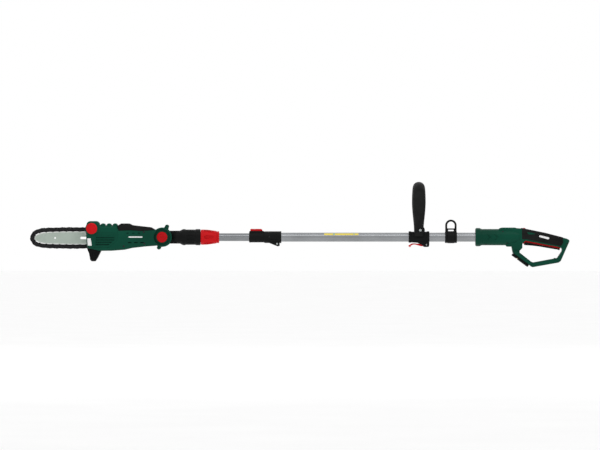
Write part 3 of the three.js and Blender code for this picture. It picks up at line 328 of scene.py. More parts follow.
def rounded(corners, radius, closed=True):
    """The corners of an outline turned into arcs. A corner may carry its own radius as a third number."""
    points = []
    count = len(corners)
    for index, corner in enumerate(corners):
        here = Vector(corner[:2])
        wanted = corner[2] if len(corner) > 2 else radius
        if wanted <= 0 or (not closed and index in (0, count - 1)):
            points.append(tuple(here))
            continue
        before = Vector(corners[index - 1][:2]) - here
        after = Vector(corners[(index + 1) % count][:2]) - here
        angle = before.angle(after)
        if angle > math.radians(176):
            points.append(tuple(here))
            continue
        reach = min(wanted / math.tan(angle / 2), before.length * 0.48, after.length * 0.48)
        arc = reach * math.tan(angle / 2)
        middle = here + (before.normalized() + after.normalized()).normalized() * arc / math.sin(angle / 2)
        start = here + before.normalized() * reach - middle
        sweep = start.angle_signed(here + after.normalized() * reach - middle)
        steps = max(2, math.ceil(abs(sweep) / math.radians(12)))
        for step in range(steps + 1):
            turned = start.copy()
            turned.rotate(Matrix.Rotation(-sweep * step / steps, 2))
            points.append(tuple(middle + turned))
    return points


def smooth_line(points, samples=8, closed=False):
    """A Catmull-Rom curve through points of any dimension."""
    points = [Vector(point) for point in points]
    count = len(points)
    line = []
    for index in range(count if closed else count - 1):
        if closed:
            a, b, c, d = (points[(index + offset) % count] for offset in (-1, 0, 1, 2))
        else:
            a, b, c, d = (points[min(max(index + offset, 0), count - 1)] for offset in (-1, 0, 1, 2))
        for sample in range(samples):
            t = sample / samples
            bend = (a * 2 - b * 5 + c * 4 - d) * t * t
            twist = (b * 3 - a - c * 3 + d) * t**3
            line.append(((b * 2) + (c - a) * t + bend + twist) / 2)
    if not closed:
        line.append(points[-1])
    return line


def bands(rows, count, ring=False):
    """Quads between neighbouring rows of points, each row closed on itself."""
    faces = []
    for row in range(rows if ring else rows - 1):
        this, following = row * count, (row + 1) % rows * count
        for index in range(count):
            beside = (index + 1) % count
            faces.append((this + index, this + beside, following + beside, following + index))
    return faces


def lathe(name, profile, axis="x", place=None, segments=96, ring=False):
    """A profile of (along, radius) points turned about an axis. A ring's profile closes on itself."""
    vertices = []
    for along, radius in profile:
        for index in range(segments):
            turn = 2 * math.pi * index / segments
            side, up = radius * math.cos(turn), radius * math.sin(turn)
            vertices.append({"x": (along, side, up), "y": (side, along, up), "z": (side, up, along)}[axis])
    rows = len(profile)
    faces = bands(rows, segments, ring)
    if not ring:
        for row in (0, rows - 1):
            if profile[row][1] > 0:
                faces.append(tuple(row * segments + index for index in range(segments)))
    return solid(name, vertices, faces, place)


def turned(name, profile, axis="x", place=None, fillet=0.6, segments=96):
    """A turned solid whose profile corners are eased."""
    return lathe(name, rounded(profile, fillet, closed=False), axis, place, segments)


def tube(name, start, end, outer, inner, axis="x", place=None, ease=0.3):
    """A length of tube with eased ends."""
    profile = [(start, inner), (start, outer), (end, outer), (end, inner)]
    return lathe(name, rounded(profile, ease), axis, place, ring=True)


def rod(name, start, end, radius, axis="y", place=None, ease=0.4, segments=48):
    return turned(name, [(start, 0), (start, radius), (end, radius), (end, 0)], axis, place, ease, segments)


def offset_corners(corners, distance):
    """Each corner moved inwards, so that every edge lies that much further in."""
    points = [Vector(corner[:2]) for corner in corners]
    count = len(points)
    area = sum(a.x * b.y - b.x * a.y for a, b in zip(points, points[1:] + points[:1]))
    way = math.copysign(1, area)
    moved = []
    for index, here in enumerate(points):
        before = (here - points[index - 1]).normalized()
        after = (points[(index + 1) % count] - here).normalized()
        inward_before = Vector((-before.y, before.x)) * way
        inward_after = Vector((-after.y, after.x)) * way
        middle = inward_before + inward_after
        moved.append(here + middle * (2 * distance / middle.length_squared))
    return moved, way


def contour(corners, radius, inset=0.0):
    """An outline with filleted corners, moved inwards. It has the same number of points at any inset."""
    plain, way = offset_corners(corners, 0)
    moved, _ = offset_corners(corners, inset)
    count = len(corners)
    points = []
    for index, corner in enumerate(corners):
        wanted = corner[2] if len(corner) > 2 else radius
        before = plain[index - 1] - plain[index]
        after = plain[(index + 1) % count] - plain[index]
        angle = before.angle(after)
        if wanted <= 0 or angle > math.radians(178.5):
            points.append(moved[index])
            continue
        convex = (before.x * after.y - before.y * after.x) * way < 0
        reach = min(wanted / math.tan(angle / 2), before.length * 0.49, after.length * 0.49)
        arc = reach * math.tan(angle / 2)
        arc = max(0.0, arc - inset) if convex else arc + inset
        towards = before.normalized() + after.normalized()
        middle = moved[index] + towards.normalized() * (arc / math.sin(angle / 2))
        tangent = moved[index] + before.normalized() * (arc / math.tan(angle / 2)) - middle
        sweep = math.pi - angle
        steps = max(2, math.ceil(sweep / math.radians(11)))
        spin = -way if not convex else way
        for step in range(steps + 1):
            turn = spin * sweep * step / steps
            cosine, sine = math.cos(turn), math.sin(turn)
            turned_x = tangent.x * cosine - tangent.y * sine
            turned_y = tangent.x * sine + tangent.y * cosine
            points.append(middle + Vector((turned_x, turned_y)))
    return points


EDGE_STEPS = 5


def prism(name, corners, y0, y1, edge=0.0, place=None, radius=0.0):
    """An outline of (x, z) corners pushed from y0 to y1, with rounded corners and long edges.

    edge is one radius, or two: the one at y0 and the one at y1.
    """
    first, last = edge if isinstance(edge, tuple) else (edge, edge)
    levels = []
    for step in range(EDGE_STEPS + 1 if first else 1):
        angle = math.pi / 2 * step / EDGE_STEPS if first else math.pi / 2
        levels.append((first * (1 - math.sin(angle)), y0 + first * (1 - math.cos(angle))))
    for step in range(EDGE_STEPS + 1 if last else 1):
        angle = math.pi / 2 * (1 - step / EDGE_STEPS) if last else math.pi / 2
        levels.append((last * (1 - math.sin(angle)), y1 - last * (1 - math.cos(angle))))
    vertices = []
    for inset, y in levels:
        vertices += [(point.x, y, point.y) for point in contour(corners, radius, inset)]
    count = len(vertices) // len(levels)
    ends = [tuple(range(count)), tuple(range(len(vertices) - count, len(vertices)))]
    return solid(name, vertices, ends + bands(len(levels), count), place)


def block(name, lower, upper, edge=0.0, place=None):
    (x0, y0, z0), (x1, y1, z1) = lower, upper
    return prism(name, [(x0, z0), (x1, z0), (x1, z1), (x0, z1)], y0, y1, edge, place, edge)


def apply_modifiers(obj):
    graph = bpy.context.evaluated_depsgraph_get()
    mesh = bpy.data.meshes.new_from_object(obj.evaluated_get(graph))
    obj.modifiers.clear()
    obj.data = mesh
    return obj


def soften(obj, width):
    """Rounds every sharp edge."""
    bevel = obj.modifiers.new("bevel", "BEVEL")
    bevel.width = width * MM
    bevel.segments = 4
    bevel.limit_method = "ANGLE"
    bevel.angle_limit = math.radians(35)
    bevel.use_clamp_overlap = False
    return apply_modifiers(obj)


def combine(obj, others, operation):
    for other in others:
        boolean = obj.modifiers.new("boolean", "BOOLEAN")
        boolean.operation = operation
        boolean.solver = "MANIFOLD"
        boolean.object = other
        apply_modifiers(obj)
        bpy.data.objects.remove(other)
    return obj


def carve(obj, *cutters):
    return combine(obj, cutters, "DIFFERENCE")


def fuse(obj, *others):
    return combine(obj, others, "UNION")


def clip(obj, *keep):
    return combine(obj, keep, "INTERSECT")


def merge(obj, *others):
    """Puts separate shells in one object."""
    shape = bmesh.new()
    for source in (obj, *others):
        shape.from_mesh(source.data)
    shape.to_mesh(obj.data)
    shape.free()
    for other in others:
        bpy.data.objects.remove(other)
    return obj


def halves(shape, left, right):
    """Cuts a casing along its seam into its left and right mouldings."""
    made = []
    for name, side in ((left, -1), (right, 1)):
        half = shape.copy()
        half.data = shape.data.copy()
        half.name = name
        bpy.context.scene.collection.objects.link(half)
        mesh = bmesh.new()
        mesh.from_mesh(half.data)
        geometry = mesh.verts[:] + mesh.edges[:] + mesh.faces[:]
        seam = (0, side * SEAM * MM, 0)
        outward = (0, -side, 0)
        result = bmesh.ops.bisect_plane(
            mesh, geom=geometry, plane_co=seam, plane_no=outward, clear_outer=True
        )
        rim = [item for item in result["geom_cut"] if isinstance(item, bmesh.types.BMEdge)]
        bmesh.ops.triangle_fill(mesh, edges=rim, use_beauty=True, use_dissolve=False)
        bmesh.ops.recalc_face_normals(mesh, faces=mesh.faces)
        mesh.to_mesh(half.data)
        mesh.free()
        made.append(half)
    bpy.data.objects.remove(shape)
    return made


def dress(obj, body, material, *nodes, angle=38):
    """Shades a finished piece, gives it its material and fixes it to its body."""
    obj.name = obj.name.split(".")[0]
    obj.data.materials.clear()
    obj.data.materials.append(material)
    for polygon in obj.data.polygons:
        polygon.use_smooth = True
        polygon.material_index = 0
    obj.data.set_sharp_from_angle(angle=math.radians(angle))
    weighted = obj.modifiers.new("weighted", "WEIGHTED_NORMAL")
    weighted.keep_sharp = True
    apply_modifiers(obj)
    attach(obj, body)
    if nodes:
        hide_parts(*nodes)
    return obj


def dress_halves(shape, names, nodes, body, material, angle=38):
    """Parts a shape at its seam and dresses both halves."""
    for half, node in zip(halves(shape, *names), nodes):
        dress(half, body, material, node, angle=angle)


# ---- Bar and chain (from the tilt axis) ----------------------------------------------------------------

BAR_NOSE = low("guide_bar").x - TILT
BAR_TAIL = high("guide_bar").x - TILT
BAR_RISE = (high("guide_bar").z - low("guide_bar").z) / 2
NOSE_X = (low("nose_sprocket").x + high("nose_sprocket").x) / 2 - TILT
SPROCKET_X = (low("drive_sprocket").x + high("drive_sprocket").x) / 2 - TILT
CHAIN_TIP = low("saw_chain").x - TILT
SLOT_ENDS = (-268, -229)  # of the slot that the bar's stud runs in
SLOT_HALF = 3.9


def bar_loop(shrink=0.0):
    """The bar's outline: a blunt nose, a slow swell and a narrower tail."""
    nose = BAR_NOSE + shrink
    edge = [
        (nose, 0), (nose + 3.3, 7.2), (nose + 12.1, 12.6), (nose + 26.1, 16.4), (nose + 47.1, 18.6),
        (nose + 119.1, BAR_RISE), (BAR_TAIL - 26.5, BAR_RISE - 0.6), (BAR_TAIL, 16),
    ]
    upper = [(x, max(0.0, rise - shrink)) for x, rise in edge]
    line = smooth_line([(upper[1][0], -upper[1][1])] + upper, 10)[10:]
    above = [(point.x, BAR_Z + point.y) for point in line]
    below = [(point.x, BAR_Z - point.y) for point in reversed(line[1:])]
    return above + below


def guide_bar():
    place = at(TILT)
    plate = prism("bar_plate", bar_loop(0.9), BAR_Y - 1.6, BAR_Y + 1.6, 0.3, place)
    hole = rod("hole", BAR_Y - 9, BAR_Y + 9, 2.8, "y", shifted(place, NOSE_X + 50.6, BAR_Z))
    front, back = SLOT_ENDS
    ends = [rod("end", BAR_Y - 9, BAR_Y + 9, SLOT_HALF, "y", shifted(place, x, BAR_Z)) for x in SLOT_ENDS]
    slot = block(
        "slot",
        (front, BAR_Y - 9, BAR_Z - SLOT_HALF),
        (back, BAR_Y + 9, BAR_Z + SLOT_HALF),
        0,
        place,
    )
    carve(plate, hole, *ends, slot)
    dress(plate, "bar", BAR, "guide_bar")
    rails = [bar_rail(side) for side in (-1, 1)]
    dress(merge(*rails), "bar", RAIL).name = "bar_rails"
    rivets = [
        rod("rivet", BAR_Y - 2.3, BAR_Y + 2.3, 1.5, "y", shifted(place, NOSE_X + x, BAR_Z + z))
        for x, z in ((0, 0), (11, 6.5), (11, -6.5), (19, 9), (19, -9))
    ]
    dress(merge(*rivets), "bar", STEEL).name = "bar_rivets"


def bar_rail(side):
    """The hardened edge on one face of the bar, with the chain's groove between the two."""
    outer = bar_loop()
    inner = bar_loop(2.6)
    y0, y1 = sorted((BAR_Y + side * 0.9, BAR_Y + side * 2.0))
    rail = prism("rail", outer, y0, y1, 0.2, at(TILT))
    return carve(rail, prism("inside", inner, y0 - 1, y1 + 1, 0, at(TILT)))


def chain_line():
    """The path of the chain's rivets: along the bar's edge, round its nose and round the drive sprocket."""
    rise = BAR_RISE + 6.6
    nose = CHAIN_TIP + 7.2
    upper = [
        (nose, 0), (nose + 3.6, 11.4), (nose + 12.4, 18.6), (nose + 26, 22.9), (nose + 50, 25.4),
        (nose + 122, rise), (BAR_TAIL - 28, rise - 1), (SPROCKET_X - 18, 21.5), (SPROCKET_X, 17),
        (SPROCKET_X + 12, 11), (SPROCKET_X + 17, 0),
    ]
    mirrored = [(x, -rise) for x, rise in reversed(upper[1:-1])]
    return smooth_line(upper + mirrored, 12, closed=True)


def evenly(line, count):
    """Points and directions at equal steps along a closed line."""
    line = list(line) + [line[0]]
    travelled = [0.0]
    for before, after in zip(line, line[1:]):
        travelled.append(travelled[-1] + (after - before).length)
    made = []
    segment = 0
    for index in range(count):
        distance = travelled[-1] * index / count
        while travelled[segment + 1] < distance:
            segment += 1
        share = (distance - travelled[segment]) / (travelled[segment + 1] - travelled[segment])
        point = line[segment].lerp(line[segment + 1], share)
        made.append((point, (line[segment + 1] - line[segment]).normalized()))
    return made


LINK_PITCH = 11.6  # between neighbouring rivets


def link_plate(y0, y1, kind):
    """One link in its own frame: along x, its outside towards +z."""
    half = LINK_PITCH * 0.74
    if kind == "cutter":
        tooth = [(half, 6.2), (half - 2.2, 9.2), (2.0, 7.6), (-0.6, 9.4), (-half, 8.2)]
        shape = [(-half, -5.6), (half, -5.6), *tooth]
    elif kind == "drive":
        shape = [(-half, 7.9), (-half, -5.6), (-2, -6), (0, -8.6), (2, -6), (half, -5.6), (half, 7.9)]
    else:
        shape = [(-half, -5.6), (half, -5.6), (half, 7.8), (2, 8.4), (-2, 8.4), (-half, 7.8)]
    outline = rounded(shape, 1.4)
    return prism("link", outline, y0, y1, 0.18)


def saw_chain():
    """Every link of the chain, drive links in the middle between pairs of ties and cutters."""
    line = chain_line()
    length = sum((after - before).length for before, after in zip(line, line[1:] + line[:1]))
    order = ["cut_left", "drive", "tie", "drive", "cut_right", "drive"]
    count = len(order) * round(length / LINK_PITCH / len(order))
    masters = {
        "tie": [link_plate(-2.1, -1.0, "tie"), link_plate(1.0, 2.1, "tie")],
        "cut_left": [link_plate(-3.2, -1.0, "cutter"), link_plate(1.0, 2.1, "tie")],
        "cut_right": [link_plate(-2.1, -1.0, "tie"), link_plate(1.0, 3.2, "cutter")],
        "drive": [link_plate(-0.75, 0.75, "drive")],
    }
    rivet = rod("rivet", -2.7, 2.7, 1.25, "y", segments=12)
    rivet_place = Matrix.Translation(Vector((-LINK_PITCH / 2 * MM, 0, 0)))
    whole = bmesh.new()
    for index, (point, direction) in enumerate(evenly(line, count)):
        forward = Vector((direction.x, 0, direction.y))
        outward = Vector((-forward.z, 0, forward.x))
        if outward.dot(Vector((point.x - (CHAIN_TIP + BAR_TAIL) / 2, 0, point.y * 3))) < 0:
            outward = -outward
        across = outward.cross(forward)
        turn = Matrix((forward, across, outward)).transposed().to_4x4()
        place = Matrix.Translation(Vector((TILT + point.x, BAR_Y, AXIS_Z + BAR_Z + point.y)) * MM) @ turn
        for source in masters[order[index % len(order)]]:
            copy_into(whole, source, place)
        copy_into(whole, rivet, place @ rivet_place)
    mesh = bpy.data.meshes.new("chain_links")
    whole.to_mesh(mesh)
    whole.free()
    chain = bpy.data.objects.new("chain_links", mesh)
    bpy.context.scene.collection.objects.link(chain)
    for parts in masters.values():
        for part in parts:
            bpy.data.objects.remove(part)
    bpy.data.objects.remove(rivet)
    return dress(chain, "head", CHAIN, "saw_chain")


def copy_into(whole, source, matrix):
    """Adds a moved copy of a mesh to a bmesh."""
    first = len(whole.verts)
    whole.from_mesh(source.data)
    whole.verts.ensure_lookup_table()
    for vertex in whole.verts[first:]:
        vertex.co = matrix @ vertex.co


# ---- Head ---------------------------------------------------------------------------------------------

HEAD_FRONT = low("head_housing_left").x - TILT
INSERT_Z = 25.4
HINGE_R = 32.0
CAP_X = (low("oil_cap").x + high("oil_cap").x) / 2 - TILT
CAP_Z = (low("oil_cap").z + high("oil_cap").z) / 2 - AXIS_Z
CAP_R = (high("oil_cap").x - low("oil_cap").x) / 2
STUD_X = (low("cover_knob").x + high("cover_knob").x) / 2 - TILT

HEAD_OUTLINE = [
    (-54.6, -30.9, 20), (-98.6, -35.8, 40), (-122.6, -41.5, 40), (-165.6, -44.9, 30), (-205, -45.2, 20),
    (HEAD_FRONT + 3, -36.2, 11), (HEAD_FRONT, 14, 60), (HEAD_FRONT + 2, 53, 13), (-209, 53, 13),
    (-203, 36.6, 6), (-147, 36.6, 5), (-142, INSERT_Z, 4), (-20, INSERT_Z, 2), (-10, -27.6, 2),
]


def y_rod(name, y0, y1, radius, x, z, ease=0.4):
    """A rod across the head."""
    return rod(name, y0, y1, radius, "y", shifted(at(TILT), x, z), ease, 64)


def head_casing():
    """The green casing of the head, with three finger bumps, the oil cap's collar and the hinge discs."""
    place = at(TILT)
    left, right = HEAD_LEFT, HEAD_RIGHT
    body = prism("casing", HEAD_OUTLINE, left, right, 8, place, 9)
    bumps = [y_rod("bump", left + 7, right - 7, 9.2, -194.4 + index * 19.8, 36.4, 3.4) for index in range(3)]
    collar = y_rod("collar", left - 1.4, left + 6, CAP_R + 2.6, CAP_X, CAP_Z, 1.6)
    cheeks = [
        turned("cheek", [(-31, 0), (-31, 27.5), (-28, HINGE_R), (-13, HINGE_R), (-13, 0)], "y", place, 2),
        turned("cheek", [(13, 0), (13, HINGE_R), (28, HINGE_R), (31, 27.5), (31, 0)], "y", place, 2),
    ]
    lugs = []
    for x, z in ((15.8, 35.1), (-10.9, -34.5)):
        lugs.append(y_rod("lug", -24, 24, 6.3, x, z, 1.5))
        lugs.append(y_rod("root", -24, 24, 7.2, x * 0.82, z * 0.82, 1.5))
    fuse(body, *bumps, collar, *cheeks, *lugs)
    room = block("room", (-240, left + 9, -32), (-36, right - 3, 22), 2, place)
    rearward = block("rearward", (-6, -13, -60), (60, 13, 60), 0, place)
    tongue_room = y_rod("tongue_room", -13, 13, 24.4, 0, 0)
    tilted = place @ Matrix.Rotation(FULL_TILT, 4, "Y")
    tilted_room = block("tilted_room", (0, -13, -22.4), (60, 13, 22.4), 0, tilted)
    well = y_rod("well", -60, -17, 18.3, 0, 0)
    moat = carve(y_rod("moat", -60, -26, 27.2, 0, 0), y_rod("island", -70, -10, 20.6, 0, 0))
    bolt_head = y_rod("bolt_head", 25, 60, 11.2, 0, 0)
    shaft = y_rod("shaft", 10, 60, 11.2, SPROCKET_X, BAR_Z)
    stud = y_rod("stud", 10, 60, 4.2, STUD_X, BAR_Z)
    filler = y_rod("filler", left - 9, left + 9, CAP_R - 2, CAP_X, CAP_Z)
    carve(body, room, rearward, tongue_room, tilted_room, well, moat, bolt_head, shaft, stud, filler)
    carve(body, *head_vents(place))
    names = ("head_shell_left", "head_shell_right")
    dress_halves(body, names, ("head_housing_left", "head_housing_right"), "head", GREEN, angle=32)


def head_vents(place):
    """The louvred recess, the panel line behind it, and two rows of small slots."""
    face = HEAD_LEFT
    outline = rounded([(-221, -27), (-176, -27), (-153, -6), (-153, 15), (-221, 15)], 3)
    cutters = [prism("recess", outline, face - 5, face + 1.2, 0, place)]
    for index in range(5):
        z = -26 + index * 7.6
        end = -157 - max(0, 2 - index) * 8.5
        depth = 7 if z < 0 else 2.2  # the oil tank lies close behind the top one
        cutters.append(block("louvre", (-218, face - 5, z), (end, face + depth, z + 3.2), 0, place))
    line = [(-147, 30), (-147, -9), (-173, -33), (-226, -33)]
    cutters.append(prism("panel_line", ribbon(line, 1.3), face - 5, face + 0.9, 0, place))
    for x in (-112, -92, -72):
        slot = [(x, -19.4), (x + 12, -19.4), (x + 12, -16), (x, -16)]
        cutters.append(prism("slot", slot, -60, -29, 0, place, 1.5))
    for x in (-118, -99, -80):
        notch = [(x, 11), (x + 7, 11), (x + 9, 15), (x + 2, 15)]
        cutters.append(prism("notch", notch, -60, -33, 0, place, 1))
    return cutters


def ribbon(line, width):
    """The outline of a band of one width along a bent line."""
    points = [Vector(point) for point in line]
    sides = ([], [])
    for index, point in enumerate(points):
        before = (point - points[max(index - 1, 0)]).normalized()
        after = (points[min(index + 1, len(points) - 1)] - point).normalized()
        along = (before + after).normalized()
        across = Vector((-along.y, along.x))
        reach = width / 2 / max(0.5, across.dot(Vector((-after.y, after.x)) if after.length else across))
        sides[0].append(tuple(point + across * reach))
        sides[1].append(tuple(point - across * reach))
    return sides[0] + sides[1][::-1]


def head_insert():
    """The soft insert: a hump behind the finger bumps, running out to a point at the hinge."""
    shape = [
        (-143, INSERT_Z - 5), (-147, 38), (-134, 45.2, 6), (-108, 45.2, 8), (-97, 39.6, 8),
        (-36, 32.6, 2), (-22, 24.5, 1), (-70, INSERT_Z - 6, 20), (-105, INSERT_Z - 2, 8),
    ]
    insert = prism("head_insert", shape, HEAD_LEFT - 0.9, HEAD_RIGHT - 3, 3.6, at(TILT), 3)
    carve(insert, y_rod("disc", -60, 60, HINGE_R + 0.3, 0, 0))
    dress(insert, "head", RUBBER, "head_grip_insert")


def oil_cap():
    """The red cap: a fine-gripped rim round a shallow dished face."""
    y = HEAD_LEFT
    place = shifted(at(TILT), CAP_X, CAP_Z)
    profile = [
        (y - 8, 0), (y - 8, CAP_R - 3.4), (y - 6.4, CAP_R - 0.2), (y + 1, CAP_R), (y + 1, 10),
        (y + 9, 10), (y + 9, 0),
    ]
    cap = turned("oil_cap_red", profile, "y", place, 1.1, 96)
    grips = []
    for turn in turns(30, "Y"):
        grips.append(rod("grip", y - 12, y - 0.5, 0.8, "y", shifted(place @ turn, CAP_R + 0.15, 0), 0, 8))
    carve(cap, merge(*grips))
    dish = rod("dish", y - 20, y - 7.1, CAP_R - 5.6, "y", place)
    carve(cap, carve(dish, rod("keep", y - 21, y - 5, 4.4, "y", place)))
    dress(cap, "oil_cap", RED, "oil_cap")


def tilt_button():
    """The red button in the hinge disc, with a turn mark sunk in its face."""
    place = at(TILT)
    face = low("tilt_button").y
    profile = [(face, 0), (face, 14.6), (face + 2.2, 17.4), (-23, 17.4), (-23, 0)]
    button = turned("tilt_button_red", profile, "y", place, 1.6)
    groove = rod("groove", face - 3, face + 0.8, 11.4, "y", place)
    carve(groove, rod("keep", face - 4, face + 2, 9.9, "y", place))
    gap = block("gap", (4, face - 5, 2), (14, face + 3, 12), 0, place)
    carve(button, carve(groove, gap))
    arrow = [(-6, -1.6), (1, -1.6), (1, -4.6), (7, 0), (1, 4.6), (1, 1.6), (-6, 1.6)]
    carve(button, prism("arrow", arrow, face - 3, face + 0.7, 0, place, 0.3))
    dress(button, "tilt_button", RED, "tilt_button")


def branch_hook():
    front = [(-247, -33), (-247, -39), (-241, -53), (-237, -75), (-232, -79.6)]
    shape = [*front, (-220, -79.6), (-212, -67), (-200, -43), (-200, -36)]
    place = at(TILT)
    hook = prism("branch_horn", shape, -22, 16, 2.2, place, 4.5)
    pocket = rounded([(-239, -50), (-233, -73), (-221, -73), (-209, -50)], 3)
    carve(hook, prism("pocket", pocket, -30, -19.8, 0, place), prism("pocket", pocket, 14, 30, 0, place))
    ribs = [block("rib", (x, -21.4, -76), (x + 1.8, -17, -48), 0.4, place) for x in (-231, -222)]
    fuse(hook, *ribs)
    dress(hook, "head", BLACK, "branch_hook")


def sprocket_cover():
    place = at(TILT)
    inner = HEAD_RIGHT + 0.3
    upper = [(-249, -37), (-249, 31), (-222, 38), (-176, 38), (-152, 24)]
    shape = [*upper, (-146, 2), (-152, -30), (-176, -43), (-205, -44)]
    cover = prism("cover_shell", shape, inner, 44, 5, place, 12)
    room = prism("room", [(x * 0.97 - 6, z * 0.9) for x, z in shape], inner - 8, 41, 2, place, 8)
    way = block("way", (-262, inner - 4, BAR_Z - 37), (-235, 34, BAR_Z + 37), 0, place)
    well = y_rod("well", 38.6, 60, 17.2, STUD_X, BAR_Z)
    carve(cover, room, way, well)
    fuse(cover, carve(y_rod("cup", 36, 39, 19, STUD_X, BAR_Z), y_rod("bore", 30, 50, 5.2, STUD_X, BAR_Z)))
    grooves = [block("groove", (-206, 43, z), (-160, 50, z + 2), 0, place) for z in (-22, -15, -8, -1, 6, 13)]
    carve(cover, *grooves)
    dress(cover, "head", BLACK, "sprocket_cover", angle=32)


def cover_knob():
    place = shifted(at(TILT), STUD_X, BAR_Z)
    body = turned("cover_knob_red", [(38.9, 0), (38.9, 15.8), (50, 15.4), (52, 13), (52, 0)], "y", place, 1)
    grips = []
    for turn in turns(10, "Y"):
        grips.append(rod("grip", 37, 60, 2.3, "y", shifted(place @ turn, 16.6, 0), 0, 20))
    carve(body, merge(*grips), rod("bore", 30, 45.6, 3.9, "y", place))
    fuse(body, block("wing", (-12, 50, -2.4), (12, 56, 2.4), 1.4, place))
    dress(body, "cover_knob", RED, "cover_knob")


def head():
    guide_bar()
    saw_chain()
    head_casing()
    head_insert()
    oil_cap()
    tilt_button()
    branch_hook()
    sprocket_cover()
    cover_knob()
    head_label()


def head_label():
    """A plain white rating plate on the slanted front of the casing, a blank badge behind it,
    and the casing screws.
    """
    y = HEAD_LEFT
    slant = [(-244, -28), (-231, -28), (-234.5, -4), (-246, -4)]
    plate = prism("rating_label", slant, y - 0.25, y + 0.2, 0, at(TILT), 1.5)
    dress(plate, "head", WHITE_LABEL)
    badge = [(-110, -1.4), (-64, -1.4), (-64, 2.6), (-110, 2.6)]
    dress(prism("plain_badge", badge, y - 0.5, y + 3, 0.3, at(TILT), 1.9), "head", WHITE_LABEL)
    screws = [screw("screw", (x, y + 1.1, z), 3.2) for x, z in ((-126, -30), (-58, -21), (-60, 17))]
    dress(merge(*screws), "head", BLACK_STEEL).name = "head_screws"


def screw(name, centre, radius, side=-1, station=TILT):
    """A pan-head screw with a six-sided socket, its face towards -y, or +y for side 1."""
    x, y, z = centre
    place = at(station) @ Matrix.Translation((x, y, z))
    head_profile = [(0, 0), (0, radius), (side * 1.2, radius), (side * 2.2, radius * 0.7), (side * 2.2, 0)]
    body = turned(name, head_profile, "y", place, 0.4, 32)
    inside = radius * 0.45
    socket_profile = [(side * 1.2, 0), (side * 1.2, inside), (side * 4, inside), (side * 4, 0)]
    return carve(body, lathe("socket", socket_profile, "y", place, 6))


# ---- Neck, nut and tubes ------------------------------------------------------------------------------

NECK_END = high("neck_left").x - TILT
NUT_FROM = low("union_nut").x - TILT
NUT_TO = high("union_nut").x - TILT


def neck():
    """The black neck: a tongue in the hinge, a thin throat, then a thicker sleeve with raised end bands."""
    place = at(TILT)
    thin, thick = 21.4, 26.7
    profile = [
        (46, 0), (46, thin, 1), (58, thin, 4), (66, thick - 1.2, 4), (70, thick, 2), (75, thick, 1.5),
        (78, thick - 1.5, 1.5), (NECK_END - 17, thick - 1.5, 1.5), (NECK_END - 14, thick, 1.5),
        (NECK_END - 1.5, thick, 1.2), (NECK_END, thick - 1.6, 0.8), (NECK_END, 0),
    ]
    sleeve = turned("neck", profile, "x", place, 1)
    tongue = y_rod("tongue", -12.5, 12.5, 21.4, 0, 0, 1)
    web = block("web", (0, -12.5, -21.2), (48, 12.5, 21.2), 1, place)
    throat = clip(
        turned("throat", [(26, 0), (34, 16, 6), (46, thin), (50, thin), (50, 0)], "x", place, 2),
        block("keep", (33.5, -40, -40), (60, 40, 40), 0, place),
    )
    fuse(sleeve, tongue, web, throat)
    for turn in turns(12, "X", 15):
        lower, upper = (82, -1.3, thick - 2.6), (NECK_END - 21, 1.3, thick + 3)
        carve(sleeve, block("flute", lower, upper, 0.9, place @ turn))
    bore = rod("bore", 66, NECK_END + 5, 18, "x", place)
    axle = y_rod("axle", -20, 20, 6.3, 0, 0)
    wiring = rod("wiring", 20, 118, 9.5, "x", place)
    carve(sleeve, bore, axle, wiring)
    names = ("neck_shell_left", "neck_shell_right")
    dress_halves(sleeve, names, ("neck_left", "neck_right"), "boom", BLACK)


def union_nut():
    """The red union nut: a barrel with hollowed oval grip panels and fine ribs between them."""
    place = at(TILT)
    profile = [
        (NUT_FROM, 0), (NUT_FROM, 24.6, 1), (NUT_FROM + 5, 25.2, 2), (NUT_FROM + 22, 24.6, 40),
        (NUT_TO - 9, 20.6, 3), (NUT_TO - 7.6, 18.7, 0.8), (NUT_TO - 6, 18.7, 0.8),
        (NUT_TO - 5, 20.0, 1), (NUT_TO - 1, 19.4, 1), (NUT_TO, 17.6, 0.6), (NUT_TO, 0),
    ]
    nut = turned("union_nut_red", profile, "x", place, 1)
    middle = (NUT_FROM + NUT_TO) / 2
    for turn in turns(6, "X", 30):
        oval = shifted(place @ turn, middle, 21.4) @ Matrix.Diagonal((20, 7.4, 1, 1))
        panel = rod("panel", 0, 8, 1, "z", oval)
        ribs = [
            block("rib", (middle - 17, y - 0.6, 15), (middle + 16, y + 0.6, 22.3), 0.4, place @ turn)
            for y in (-4.2, -1.4, 1.4, 4.2)
        ]
        carve(nut, carve(panel, *ribs))
    bore = rod("bore", NUT_FROM - 5, NUT_TO + 5, INNER_R + 0.4, "x", place)
    seat = rod("seat", NUT_FROM - 5, NUT_TO - 14, 18.4, "x", place)
    carve(nut, bore, seat)
    dress(nut, "union_nut", RED, "union_nut")


def grooved_tube(name, start, end, radius, wall, depth, material, body, node):
    """A drawn tube. The inner one has a shallow groove along each side."""
    segments = 128
    half = math.asin(2.2 / radius)

    def ring(radius, at_x, eased):
        points = []
        for index in range(segments):
            angle = 2 * math.pi * index / segments
            off = abs((angle + math.pi / 2) % math.pi - math.pi / 2)
            dip = depth * 0.5 * (1 + math.cos(math.pi * min(1, off / half))) if off < half else 0
            reach = radius - dip - eased
            points.append((at_x, reach * math.cos(angle), reach * math.sin(angle)))
        return points

    rings = [
        ring(radius - wall, start, 0),
        ring(radius, start, 0.4),
        ring(radius, start + 0.4, 0),
        ring(radius, end - 0.4, 0),
        ring(radius, end, 0.4),
        ring(radius - wall, end, 0),
    ]
    vertices = [point for points in rings for point in points]
    made = solid(name, vertices, bands(len(rings), segments, ring=True), at(0))
    return dress(made, body, material, node, angle=50)


